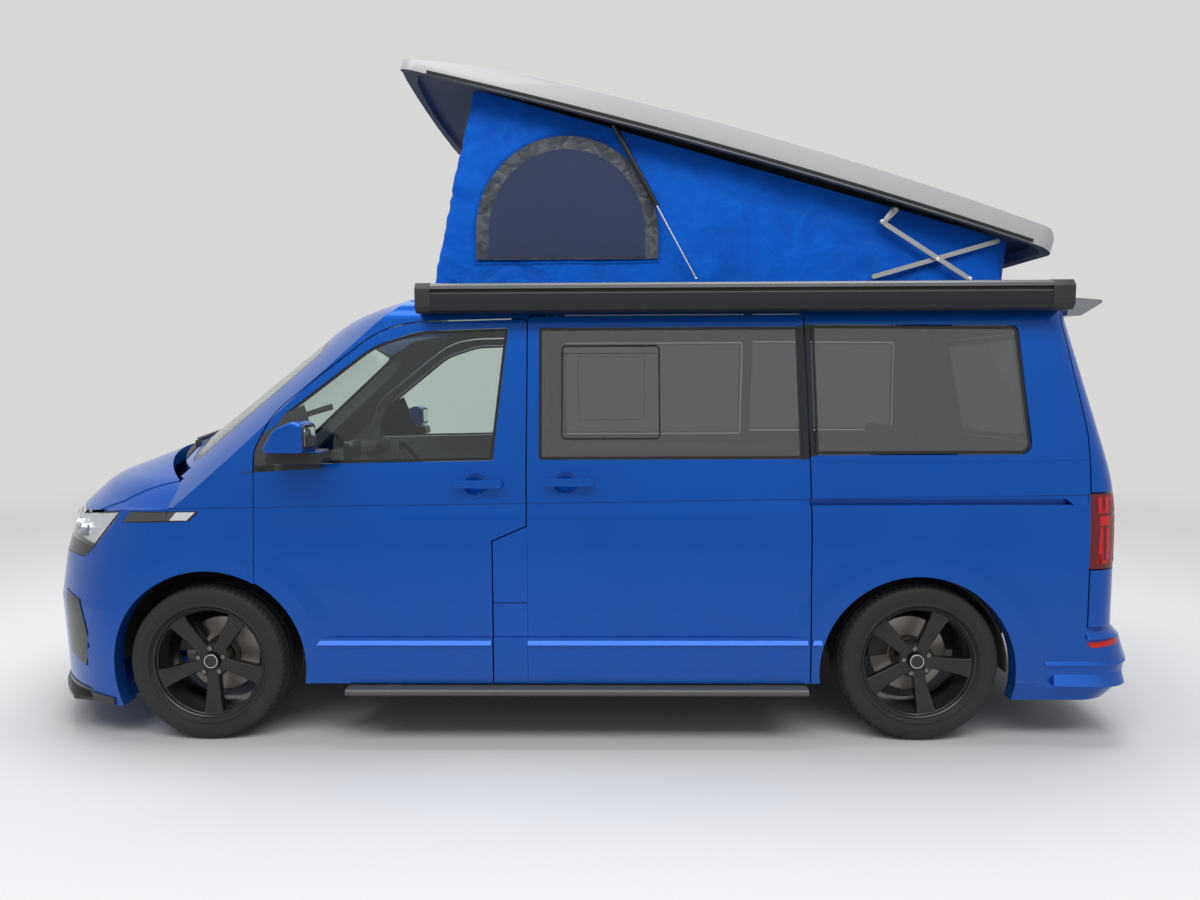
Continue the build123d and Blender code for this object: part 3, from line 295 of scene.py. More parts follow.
# Each finish: its maker and the maker's values after the name
FINISHES = {
    "body blue": (car_paint, (0.0, 0.105, 0.52), (0.0, 0.056, 0.32)),
    "roof grey": (car_paint, (0.54, 0.545, 0.55), (0.46, 0.463, 0.47), 0.2, 0.4, 0.15),
    "spoiler silver": (car_paint, (0.3, 0.31, 0.33), (0.18, 0.19, 0.2), 0.2, 0.3, 0.6),
    "awning anthracite": (moulded, (0.022, 0.025, 0.029), 0.36, 500.0, 0.08, 0.0, 0.5),
    # a lighter copy of the anthracite for the awning's top faces and bead, a painted highlight along its top edge
    "awning painted highlight": (moulded, (0.12, 0.125, 0.13), 0.3, 500.0, 0.08, 0.0, 0.5),
    "black trim": (moulded, (0.02, 0.02, 0.021), 0.5),
    "board grey": (moulded, (0.11, 0.113, 0.118), 0.4, 350.0, 0.15, 0.25, 0.4),
    "cab lining": (moulded, (0.3, 0.31, 0.305), 0.7, 300.0, 0.3, 0.04),
    "cabin plastic": (moulded, (0.05, 0.05, 0.052), 0.6, 350.0, 0.3, 0.0),
    "cast iron": (moulded, (0.045, 0.043, 0.04), 0.6, 160.0, 0.4, 0.5),
    "corner grey": (moulded, (0.035, 0.037, 0.04), 0.42, 400.0, 0.15, 0.03),
    "gloss black": (moulded, (0.008, 0.008, 0.009), 0.1, 200.0, 0.02, 0.08),
    "plate white": (moulded, (0.62, 0.62, 0.6), 0.3, 300.0, 0.05, 0.15),
    "red guide": (moulded, (0.7, 0.004, 0.012), 0.12, 60.0, 0.05, 0.0),
    "red lens": (moulded, (0.16, 0.004, 0.008), 0.12, 60.0, 0.05, 0.05),
    "roof lining": (moulded, (0.15, 0.155, 0.16), 0.8, 260.0, 0.4, 0.0),
    "seal": (moulded, (0.01, 0.01, 0.01), 0.65, 300.0, 0.2, 0.0),
    "seat leather": (moulded, (0.03, 0.03, 0.032), 0.45, 260.0, 0.35, 0.0),
    "strip grey": (moulded, (0.07, 0.07, 0.075), 0.35, 400.0, 0.1, 0.05),
    "tyre rubber": (moulded, (0.014, 0.014, 0.015), 0.68, 500.0, 0.3, 0.12),
    "under seal": (moulded, (0.02, 0.02, 0.02), 0.75, 120.0, 0.5, 0.6),
    "wheel black": (moulded, (0.012, 0.012, 0.013), 0.2, 300.0, 0.03, 0.15, 0.3),
    "white lens": (moulded, (0.75, 0.76, 0.77), 0.15, 60.0, 0.05, 0.05),
    "bare aluminium": (brushed, (0.42, 0.43, 0.44), 0.36),
    "brake disc": (brushed, (0.36, 0.33, 0.3), 0.45),
    "bright metal": (brushed, (0.78, 0.79, 0.8), 0.22),
    "dark steel": (brushed, (0.2, 0.19, 0.18), 0.42),
    "lamp chrome": (brushed, (0.82, 0.83, 0.85), 0.12),
    "mirror glass": (brushed, (0.75, 0.77, 0.78), 0.06),
    "clear glass": (clear, (0.78, 0.86, 0.83)),
    "lamp lens": (clear, (0.93, 0.95, 0.97)),
    "privacy glass": (clear, (0.24, 0.255, 0.27), 1.0),
    "seat cloth": (woven, (0.06, 0.06, 0.065), (0.035, 0.035, 0.04), 300.0),
    "tent mesh": (woven, (0.022, 0.038, 0.105), (0.014, 0.026, 0.075), 1400.0, 0.7, 0.1),
    # tent blue and tent film: crease crests painted lighter and hollows darker, a painted highlight and painted shade
    "tent blue": (creased, (0.0, 0.14, 0.75), (0.0, 0.108, 0.61), 0.62, 5.0, 0.014, 900.0, 0.15),
    "tent film": (creased, (0.105, 0.115, 0.135), (0.03, 0.037, 0.055), 0.3, 14.0, 0.008),
    "cabinet": (veneer, (0.42, 0.36, 0.28), (0.3, 0.25, 0.19)),
}


def material(name):
    """The finish of this name, made the first time it is asked for."""
    maker, *values = FINISHES[name]
    return shared(name, maker, name, *values)


# Mesh helpers


def finish_mesh(bm, name, finish, body="van", smooth_angle=35.0, recalc=True):
    """Turn a bmesh into a piece with its materials, shading and body."""
    finishes = finish if isinstance(finish, list) else [finish]
    bmesh.ops.remove_doubles(bm, verts=bm.verts, dist=1e-5)
    if recalc:
        bmesh.ops.recalc_face_normals(bm, faces=bm.faces)
    for face in bm.faces:
        face.smooth = True
    for edge in bm.edges:
        edge.smooth = edge.is_manifold and edge.calc_face_angle(0.0) < math.radians(smooth_angle)
    mesh = bpy.data.meshes.new(name)
    bm.to_mesh(mesh)
    bm.free()
    piece = bpy.data.objects.new(name, mesh)
    bpy.context.scene.collection.objects.link(piece)
    for one in finishes:
        mesh.materials.append(material(one))
    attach(piece, body)
    return piece


def thicken(piece, name, thickness, inward=True):
    """Give a skin a wall, inwards from its face or half to each side."""
    wall = piece.modifiers.new(name, "SOLIDIFY")
    wall.thickness = thickness
    if inward:
        wall.offset = -1.0


def node_bmesh(node):
    """A merged copy of a CAD node's mesh."""
    bm = bmesh.new()
    bm.from_mesh(frame["nodes"][node].data)
    bmesh.ops.remove_doubles(bm, verts=bm.verts, dist=1e-5)
    return bm


def body_of(node):
    """Name of the body that a node rides on."""
    for body, nodes in frame["record"]["behaviour"]["bodies"].items():
        if node in nodes:
            return body
    raise KeyError(node)


def slot_of(node):
    """The record's material slot of a node."""
    for row in frame["record"]["subparts"]:
        if row["node"] == node:
            return row["material_slot"]
    raise KeyError(node)


def paint_node(node, finish):
    """Give a CAD node's own object a better material."""
    for material_slot in frame["nodes"][node].material_slots:
        material_slot.material = material(finish)


def everything(bm):
    """All vertices, edges and faces."""
    return list(bm.verts) + list(bm.edges) + list(bm.faces)


def new_vertices(made):
    """The vertices among an operator's results."""
    return [item for item in made["geom"] if isinstance(item, bmesh.types.BMVert)]


def loop_edges(bm, vertices):
    """Edges that join vertices in a closed loop."""
    return [bm.edges.new((vertices[i], vertices[(i + 1) % len(vertices)])) for i in range(len(vertices))]


def bridge(bm, loops):
    """Faces between each loop of edges and the next."""
    for one, other in zip(loops, loops[1:]):
        bmesh.ops.bridge_loops(bm, edges=one + other)


def bevel(bm, edges, offset, segments=2, clamp=True):
    """Round edges by the offset."""
    bmesh.ops.bevel(
        bm, geom=edges, offset=offset, offset_type="OFFSET", affect="EDGES", segments=segments, profile=0.5,
        material=-1, clamp_overlap=clamp,
    )


def cut(bm, at, normal, drop=False):
    """Cut a mesh along a plane, and drop what lies beyond it where asked."""
    bmesh.ops.bisect_plane(
        bm, geom=everything(bm), dist=1e-6, plane_co=at, plane_no=normal, clear_outer=drop, clear_inner=False
    )


def spin_round(bm, geom, centre, axis, steps):
    """Sweep a profile once round an axis."""
    bmesh.ops.spin(
        bm, geom=geom, cent=centre, axis=axis, dvec=(0, 0, 0), angle=math.tau, steps=steps, use_merge=True,
        use_normal_flip=False, use_duplicate=False,
    )


def hit(tree, start, ahead):
    """Where a ray first meets a surface, or None."""
    return tree.ray_cast(Vector(start), ahead)[0]


# Shapes that several pieces share


PLANES = {"side": lambda a, b, depth: (a, depth, b), "front": lambda a, b, depth: (depth, a, b)}


def box(a, b, low, high):
    """Outline of a rectangle."""
    return [(a, low), (b, low), (b, high), (a, high)]


def rounded_outline(corners, steps=5):
    """Points along a closed outline whose corners (a, b, radius) are rounded."""
    points = []
    for index, (a, b, radius) in enumerate(corners):
        here = Vector((a, b))
        back = (Vector(corners[index - 1][:2]) - here).normalized()
        ahead = (Vector(corners[(index + 1) % len(corners)][:2]) - here).normalized()
        half = back.angle(ahead) / 2
        middle = here + (back + ahead).normalized() * (radius / math.sin(half))
        start = here + back * (radius / math.tan(half)) - middle
        end = here + ahead * (radius / math.tan(half)) - middle
        turn = math.atan2(start.x * end.y - start.y * end.x, start.dot(end))
        for step in range(steps + 1):
            angle = turn * step / steps
            points.append((
                middle.x + start.x * math.cos(angle) - start.y * math.sin(angle),
                middle.y + start.x * math.sin(angle) + start.y * math.cos(angle),
            ))
    return points


def rounded_box(a, b, low, high, radius, steps=4):
    """Outline of a rectangle with rounded corners."""
    return rounded_outline([(*point, radius) for point in box(a, b, low, high)], steps)


def extrude_outline(bm, faces, plane, near, far):
    """Extrude faces along the plane's axis and return the new vertices."""
    tips = new_vertices(bmesh.ops.extrude_face_region(bm, geom=faces))
    place = PLANES[plane]
    bmesh.ops.translate(bm, verts=tips, vec=Vector(place(0.0, 0.0, far)) - Vector(place(0.0, 0.0, near)))
    return tips


def prism(bm, outline, plane, near, far, bevel_width=0.0, segments=2):
    """Extrude an outline of (a, b) points from near to far, seen along the plane's axis, and bevel its edges."""
    base = [bm.verts.new(PLANES[plane](a, b, near)) for a, b in outline]
    tips = extrude_outline(bm, [bm.faces.new(base)], plane, near, far)
    if bevel_width > 0:
        faces = {face for vertex in base + tips for face in vertex.link_faces}
        bevel(bm, list({edge for face in faces for edge in face.edges}), bevel_width, segments)


def slab(name, outline, plane, near, far, finish, body="van", bevel_width=0.0, segments=2):
    """Piece made of one prism."""
    bm = bmesh.new()
    prism(bm, outline, plane, near, far, bevel_width, segments)
    return finish_mesh(bm, name, finish, body)


def ring(bm, outline, width, plane, near, far):
    """Flat frame of the given width inside an outline, with a thickness from near to far."""
    face = bm.faces.new([bm.verts.new(PLANES[plane](a, b, near)) for a, b in outline])
    inner = bmesh.ops.inset_region(bm, faces=[face], thickness=width, use_boundary=True, use_even_offset=True)["faces"]
    bmesh.ops.delete(bm, geom=[face], context="FACES_ONLY")
    extrude_outline(bm, inner, plane, near, far)


def lathe(bm, profile, centre, steps, outward):
    """Spin a profile (along the axle, radius) about the wheel's axle."""
    vertices = [bm.verts.new((centre[0], centre[1] + outward * along, centre[2] + radius)) for along, radius in profile]
    edges = [bm.edges.new(pair) for pair in zip(vertices, vertices[1:])]
    spin_round(bm, vertices + edges, centre, RIGHT, steps)


def sharp_edges(vertices):
    """The edges at the rims of a cone's or cylinder's ends."""
    return list({edge for vertex in vertices for edge in vertex.link_edges if edge.calc_face_angle(0.0) > 1.0})


def rod(bm, start, end, radius, segments=16, bevel_width=0.0):
    """Round bar between two points."""
    start, end = Vector(start), Vector(end)
    turn = (end - start).to_track_quat("Z", "Y").to_matrix().to_4x4()
    made = bmesh.ops.create_cone(
        bm, cap_ends=True, segments=segments, radius1=radius, radius2=radius, depth=(end - start).length,
        matrix=Matrix.Translation((start + end) / 2) @ turn,
    )
    if bevel_width > 0:
        bevel(bm, sharp_edges(made["verts"]), bevel_width)


def strip(bm, points, up, out, height, depth):
    """Rectangular moulding swept along points: its height along up and its depth along out."""
    loops = []
    for point in points:
        corners = [point, point + up * height, point + up * height + out * depth, point + out * depth]
        loops.append(loop_edges(bm, [bm.verts.new(corner) for corner in corners]))
    bridge(bm, loops)
    for loop in (loops[0], loops[-1]):
        bmesh.ops.contextual_create(bm, geom=loop)
    bmesh.ops.recalc_face_normals(bm, faces=bm.faces)


def band(bm, sign, outline, across, least):
    """Keep the part of a panel's outer face inside a convex outline, seen from the side (x, z) or behind (y, z)."""
    spot = (lambda a, b: Vector((a, 0.0, b))) if across == "y" else (lambda a, b: Vector((0.0, a, b)))
    turned = (lambda n: n.y) if across == "y" else (lambda n: n.x)
    middle = spot(sum(p[0] for p in outline) / len(outline), sum(p[1] for p in outline) / len(outline))
    for one, other in zip(outline, outline[1:] + outline[:1]):
        normal = spot(other[1] - one[1], one[0] - other[0]).normalized()
        if normal.dot(middle - spot(*one)) > 0:
            normal = -normal
        cut(bm, spot(*one), normal, drop=True)
    bm.normal_update()
    wrong = [
        face for face in bm.faces
        if turned(face.normal) * sign < least or turned(face.calc_center_median()) * sign < 0.6
    ]
    bmesh.ops.delete(bm, geom=wrong, context="FACES")


def shift_out(bm, sign, depth, across="y", ramp=None):
    """Thicken a skin outwards by the depth, which grows from the ramp's first height to its second."""
    out = RIGHT if across == "y" else REAR
    for vertex in new_vertices(bmesh.ops.extrude_face_region(bm, geom=list(bm.faces))):
        share = 1.0
        if ramp:
            share = min(1.0, max(0.02, (vertex.co.z - ramp[0]) / (ramp[1] - ramp[0])))
        vertex.co += out * (sign * depth * share)
    bmesh.ops.recalc_face_normals(bm, faces=bm.faces)


def join(whole, bm):
    """Add one bmesh to another and free it."""
    mesh = bpy.data.meshes.new("part")
    bm.to_mesh(mesh)
    bm.free()
    whole.from_mesh(mesh)
    bpy.data.meshes.remove(mesh)


def patch(name, node, sign, outlines, depth, finish, body="van", across="y", ramp=None, least=0.5):
    """Raised patches on a panel's own skin, one for each convex outline."""
    whole = bmesh.new()
    for outline in outlines:
        bm = node_bmesh(node)
        band(bm, sign, outline, across, least)
        shift_out(bm, sign, depth, across, ramp)
        join(whole, bm)
    return finish_mesh(whole, name, finish, body, smooth_angle=30.0, recalc=False)


def lining(name, node, sign, low, body):
    """Light trim on the cabin side of a side panel, above the given height."""
    bm = node_bmesh(node)
    bm.normal_update()
    rest = []
    for face in bm.faces:
        middle = face.calc_center_median()
        if face.normal.y * sign > -0.25 or middle.y * sign < 0.5 or middle.z < low:
            rest.append(face)
    bmesh.ops.delete(bm, geom=rest, context="FACES")
    shift_out(bm, sign, -0.0015)
    finish_mesh(bm, name, "cab lining", body, smooth_angle=30.0, recalc=False)


# Settings that a user would change


class VanBodySettings(bpy.types.PropertyGroup):
    """Body panels, lamps and glass."""

    seal_width: bpy.props.FloatProperty(
        name="Seal width", description="Width of the black rubber round the panes", default=0.012, min=0.001,
        unit="LENGTH",
    )


class VanWheelSettings(bpy.types.PropertyGroup):
    """Wheels and tyres."""

    tread_depth: bpy.props.FloatProperty(
        name="Tread depth", description="Depth of the tyre's grooves", default=0.007, min=0.0, unit="LENGTH"
    )
    tread_blocks: bpy.props.IntProperty(
        name="Tread blocks", description="Shoulder blocks round each tyre", default=72, min=8
    )


class VanRoofSettings(bpy.types.PropertyGroup):
    """Raised roof and its tent."""

    wrinkle_depth: bpy.props.FloatProperty(
        name="Wrinkle depth", description="Depth of the folds in the tent", default=0.006, min=0.0, unit="LENGTH"
    )


class VanStageSettings(bpy.types.PropertyGroup):
    """Camera, floor and lights."""

    eye: bpy.props.FloatVectorProperty(
        name="Camera place", description="Where the camera stands", default=(0.22, -4.49, 1.521),
        subtype="TRANSLATION", unit="LENGTH",
    )
    lens: bpy.props.FloatProperty(
        name="Lens", description="Focal length in millimetres on a 36 mm sensor", default=25.98, min=8.0
    )
    pitch: bpy.props.FloatProperty(
        name="Pitch", description="How far the camera looks down", default=math.radians(4.6), subtype="ANGLE"
    )
    yaw: bpy.props.FloatProperty(
        name="Yaw", description="How far the camera turns towards the nose", default=math.radians(0.86), subtype="ANGLE"
    )
    roll: bpy.props.FloatProperty(
        name="Roll", description="How far the camera leans", default=math.radians(0.25), subtype="ANGLE"
    )
    floor_colour: bpy.props.FloatVectorProperty(
        name="Floor colour", description="Colour of the floor and backdrop", default=(0.68, 0.68, 0.675),
        subtype="COLOR",
    )


# Pieces


class VAN_OT_body_panels(bpy.types.Operator):
    """Paint the body panels and set the mouldings along their lower edge"""

    bl_idname = "van.body_panels"
    bl_label = "Body panels"

    def execute(self, context):
        for node in (
            "body_shell", "front_wings", "bonnet", "front_door_left", "front_door_right", "sliding_door", "tailgate",
            "front_bumper", "rear_bumper",
        ):
            paint_node(node, "body blue")
        paint_node("tailgate_spoiler", "spoiler silver")
        low, high = 0.424, 0.440
        for side, sign in SIDES.items():
            stretches = [("front", f"front_door_{side}", f"door_{side}", -1.020, -0.290)]
            if side == "left":
                stretches += [
                    ("slide", "sliding_door", "van", -0.156, 1.026), ("tail", "body_shell", "van", 1.042, 1.085),
                ]
            else:
                stretches += [("tail", "body_shell", "van", -0.156, 1.085)]
            for label, node, body, start, end in stretches:
                edge = [(start, low), (end, low), (end, high), (start + 0.012, high)]
                patch(f"moulding_{label}_{side}", node, sign, [edge], 0.012, "body blue", body, ramp=(high, low))
        return {"FINISHED"}


class VAN_OT_plain_parts(bpy.types.Operator):
    """Give the remaining solids their finishes"""

    bl_idname = "van.plain_parts"
    bl_label = "Plain parts"

    def execute(self, context):
        for finish, nodes in {
            "black trim": ("scuttle", "roof_frame"),
            "gloss black": ("front_trim", "strut_cylinders"),
            "board grey": ("running_boards",),
            "bare aluminium": ("lift_arms", "stay_arms"),
            "bright metal": ("strut_rods",),
            "cast iron": ("knuckle_left", "knuckle_right", "rear_axle", "engine"),
            "under seal": ("front_frame", "floor_pan"),
            "cabin plastic": ("dashboard",),
            "cabinet": ("kitchen_unit",),
        }.items():
            for node in nodes:
                paint_node(node, finish)
        return {"FINISHED"}


def wheels():
    """The end, side, sign, centre and body of each wheel."""
    for end, x in WHEEL_X.items():
        for side, sign in SIDES.items():
            yield end, side, sign, Vector((x, sign * TRACK_HALF, TYRE_RADIUS)), f"wheel_{end}_{side}"


class VAN_OT_tyres(bpy.types.Operator):
    """Spin the tyres, with grooves, shoulder blocks and sidewall ribs"""

    bl_idname = "van.tyres"
    bl_label = "Tyres"

    def execute(self, context):
        settings = context.scene.van_wheels
        groove = settings.tread_depth
        half = [
            (0.096, 0.2385), (0.112, 0.2405), (0.1195, 0.2475), (0.1262, 0.2500), (0.1272, 0.2545), (0.1235, 0.2585),
            (0.1240, 0.2680), (0.1252, 0.2690), (0.1258, 0.2760), (0.1268, 0.2770), (0.1270, 0.2850), (0.1262, 0.2960),
            (0.1245, 0.3040), (0.1253, 0.3050), (0.1235, 0.3120), (0.1170, 0.3205), (0.1080, 0.3268), (0.0940, 0.3292),
            (0.0770, 0.3303), (0.0755, 0.3303 - groove), (0.0670, 0.3306 - groove), (0.0655, 0.3309),
            (0.0350, 0.3316), (0.0335, 0.3316 - groove), (0.0240, 0.3318 - groove), (0.0225, 0.3319), (0.0, 0.3320),
        ]
        profile = half + [(-along, radius) for along, radius in half[-2::-1]] + [half[0]]
        steps = settings.tread_blocks * 2
        for end, side, sign, centre, body in wheels():
            bm = bmesh.new()
            lathe(bm, profile, centre, steps, sign)
            bmesh.ops.remove_doubles(bm, verts=bm.verts, dist=1e-5)
            bmesh.ops.recalc_face_normals(bm, faces=bm.faces)
            cuts = []
            for face in bm.faces:
                local = face.calc_center_median() - centre
                radius = math.hypot(local.x, local.z)
                turn = int((math.atan2(local.z, local.x) % math.tau) / (math.tau / steps))
                shoulder = radius > 0.3225 and 0.080 < abs(local.y) < 0.118 and turn % 2 == 0
                middle_rib = radius > 0.3295 and abs(local.y) < 0.0225 and turn % 6 == 0
                if shoulder or middle_rib:
                    cuts.append(face)
            bmesh.ops.inset_individual(bm, faces=cuts, thickness=0.0022, depth=-groove * 0.6, use_even_offset=True)
            tyre = finish_mesh(bm, f"tyre_{end}_{side}_tread", "tyre rubber", body)
            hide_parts(f"tyre_{end}_{side}")
        return {"FINISHED"}


class VAN_OT_rims(bpy.types.Operator):
    """Build the five-spoke wheels, their bolts, caps, discs and calipers"""

    bl_idname = "van.rims"
    bl_label = "Wheels"

    # profiles as (along the axle, radius)
    barrel = [
        (0.1110, 0.2410), (0.1135, 0.2375), (0.1125, 0.2330), (0.1085, 0.2290), (0.0990, 0.2265), (0.0960, 0.2225),
        (0.0900, 0.2200), (0.0500, 0.2120), (0.0000, 0.2060), (-0.0800, 0.2120), (-0.1040, 0.2260), (-0.1120, 0.2330),
        (-0.1120, 0.2400), (-0.1000, 0.2360), (0.0980, 0.2360), (0.1110, 0.2410),
    ]
    hub = [
        (0.0300, 0.0), (0.0300, 0.0760), (0.0720, 0.0760), (0.0790, 0.0700), (0.0810, 0.0560), (0.0770, 0.0420),
        (0.0740, 0.0330), (0.0740, 0.0),
    ]
    cap = [(0.078, 0.0315), (0.0850, 0.0315), (0.0872, 0.0290), (0.0872, 0.0262), (0.0858, 0.0255), (0.0858, 0.0)]
    cap_ring = [(0.0866, 0.0292), (0.0880, 0.0288), (0.0880, 0.0268), (0.0866, 0.0264)]
    disc = [
        (-0.045, 0.070), (-0.030, 0.0705), (0.010, 0.0710), (0.012, 0.0740), (-0.030, 0.0760), (-0.036, 0.0800),
        (-0.036, 0.1620), (-0.038, 0.1640), (-0.060, 0.1640), (-0.062, 0.1620), (-0.062, 0.080),
    ]
    # distance from the hub, half width, front depth, back depth
    spoke = [
        (0.050, 0.0265, 0.0780, 0.0380), (0.085, 0.0270, 0.0800, 0.0400), (0.140, 0.0310, 0.0860, 0.0480),
        (0.195, 0.0370, 0.0930, 0.0560), (0.216, 0.0420, 0.0965, 0.0600), (0.2275, 0.0500, 0.0985, 0.0640),
    ]
    first_spoke = {"front": 56.0, "rear": 65.0}
    caliper_turn = {"front": 150.0, "rear": 160.0}

    def spokes(self, centre, sign, first):
        """Five bevelled spokes, the first at the given angle in degrees."""
        bm = bmesh.new()
        loops = []
        for reach, width, front, back in self.spoke:
            loops.append(loop_edges(bm, [
                bm.verts.new(centre + Vector((across, sign * depth, reach)))
                for across, depth in ((-width, back), (width, back), (width, front), (-width, front))
            ]))
        bridge(bm, loops)
        bmesh.ops.recalc_face_normals(bm, faces=bm.faces)
        bevel(bm, [e for e in bm.edges if e.is_manifold and abs((e.verts[0].co - e.verts[1].co).z) > 0.008], 0.0055, 3)
        turn = Matrix.Rotation(math.radians(90.0 - first), 4, "Y")
        bmesh.ops.rotate(bm, verts=bm.verts, cent=centre, matrix=turn)
        bmesh.ops.spin(
            bm, geom=everything(bm), cent=centre, axis=RIGHT, dvec=(0, 0, 0), angle=math.tau * 4 / 5, steps=4,
            use_duplicate=True, use_merge=False, use_normal_flip=False,
        )
        return bm

    def caliper(self, x, turn):
        """Outline of a caliper at the given angle in degrees."""
        outline = []
        for radius, angles in ((0.182, range(-24, 25, 6)), (0.098, range(18, -19, -6))):
            for step in angles:
                angle = math.radians(turn + step)
                outline.append((x + radius * math.cos(angle), TYRE_RADIUS + radius * math.sin(angle)))
        return outline

    def execute(self, context):
        for end, side, sign, centre, body in wheels():
            bm = bmesh.new()
            lathe(bm, self.barrel, centre, 96, sign)
            lathe(bm, self.hub, centre, 60, sign)
            wheel = finish_mesh(bm, f"rim_{end}_{side}_barrel", "wheel black", body, smooth_angle=30.0)
            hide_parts(f"rim_{end}_{side}")
            first = self.first_spoke[end]
            bm = self.spokes(centre, sign, first)
            finish_mesh(bm, f"rim_{end}_{side}_spokes", "wheel black", body, smooth_angle=30.0)
            bm = bmesh.new()
            for index in range(5):
                angle = math.radians(first + 36.0 + 72.0 * index)
                at = centre + Vector((0.056 * math.cos(angle), 0.0, 0.056 * math.sin(angle)))
                rod(bm, at + RIGHT * (sign * 0.070), at + RIGHT * (sign * 0.089), 0.0105, 6, 0.0015)
            finish_mesh(bm, f"wheel_bolts_{end}_{side}", "dark steel", body)
            for name, profile, steps, finish in (
                ("wheel_cap", self.cap, 40, "gloss black"), ("cap_ring", self.cap_ring, 40, "bright metal"),
                ("brake_disc", self.disc, 72, "brake disc"),
            ):
                bm = bmesh.new()
                lathe(bm, profile, centre, steps, sign)
                finish_mesh(bm, f"{name}_{end}_{side}", finish, body)
            slab(
                f"caliper_{end}_{side}", self.caliper(centre.x, self.caliper_turn[end]), "side",
                sign * (TRACK_HALF - 0.092), sign * (TRACK_HALF - 0.004), "cast iron",
                f"steer_{side}" if end == "front" else "van", 0.006,
            )
        return {"FINISHED"}


def pane_with_border(node, glass, outward, width):
    """Copy a pane and give its outer face a printed border of the given width."""
    bm = node_bmesh(node)
    outer = [face for face in bm.faces if face.normal.dot(outward(face)) > 0.6]
    border = bmesh.ops.inset_region(bm, faces=outer, thickness=width, use_boundary=True, use_even_offset=True)["faces"]
    for face in border:
        face.material_index = 1
    piece = finish_mesh(bm, f"{node}_pane", [glass, "gloss black"], body_of(node), recalc=False)
    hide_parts(node)


class VAN_OT_panes(bpy.types.Operator):
    """Give each pane its glass and printed border, and the sliding panes their frames"""

    bl_idname = "van.panes"
    bl_label = "Windows"

    def execute(self, context):
        width = context.scene.van_body.seal_width
        pane_with_border("windscreen", "clear glass", lambda face: SCREEN_OUT, 0.035)
        for side, sign in SIDES.items():
            pane_with_border(f"front_door_glass_{side}", "clear glass", lambda face, sign=sign: RIGHT * sign, width)
        pane_with_border(
            "side_glass", "privacy glass", lambda face: RIGHT * math.copysign(1.0, face.calc_center_median().y), width
        )
        pane_with_border("tailgate_glass", "privacy glass", lambda face: REAR, 0.03)
        left, right, low, high, bar, corner = 0.004, 0.418, 1.276, 1.669, 0.007, 0.014
        frame_bars = [
            box(left + corner, right - corner, low, low + bar), box(left + corner, right - corner, high - bar, high),
            box(left, left + bar, low + corner, high - corner), box(right - bar, right, low + corner, high - corner),
        ]
        for z, above in ((low, 1), (high, -1)):
            for x, behind in ((left, 1), (right, -1)):
                frame_bars.append([
                    (x, z + above * corner), (x + behind * corner, z), (x + behind * corner, z + above * bar),
                    (x + behind * bar, z + above * corner),
                ])
        for side, sign in SIDES.items():
            patch(f"sliding_pane_frame_{side}", "side_glass", sign, frame_bars, 0.004, "gloss black")
        door_cover = [(0.997, 1.192), (1.0335, 1.192), (1.0225, 1.745), (0.997, 1.745)]
        body_cover = [(1.0365, 1.206), (1.062, 1.206), (1.058, 1.752), (1.0255, 1.752)]
        for side, sign in SIDES.items():
            door = "sliding_door" if side == "left" else "body_shell"
            for name, node, outline in (("door", door, door_cover), ("body", "body_shell", body_cover)):
                patch(f"pillar_cover_{name}_{side}", node, sign, [outline], 0.0012, "gloss black")
        return {"FINISHED"}


class VAN_OT_handles(bpy.types.Operator):
    """Fit the door handles over their dishes in the panels"""

    bl_idname = "van.handles"
    bl_label = "Door handles"

    def execute(self, context):
        for name, body, sign, start, end, z in (
            ("front_left", "door_left", -1, -0.440, -0.236, 1.097),
            ("front_right", "door_right", 1, -0.440, -0.236, 1.097),
            ("sliding", "van", -1, -0.060, 0.142, 1.104),
        ):
            bm = bmesh.new()
            grip = [
                (start, z - 0.015, 0.014), (end, z - 0.017, 0.016), (end, z + 0.017, 0.016), (start, z + 0.015, 0.014),
            ]
            prism(bm, rounded_outline(grip), "side", sign * 0.950, sign * 0.972, 0.007, 3)
            for at, width in ((start + 0.012, 0.020), (end - 0.030, 0.026)):
                foot = rounded_box(at, at + width, z - 0.012, z + 0.012, 0.006, 3)
                prism(bm, foot, "side", sign * 0.925, sign * 0.953)
            finish_mesh(bm, f"handle_{name}", "body blue", body)
        return {"FINISHED"}


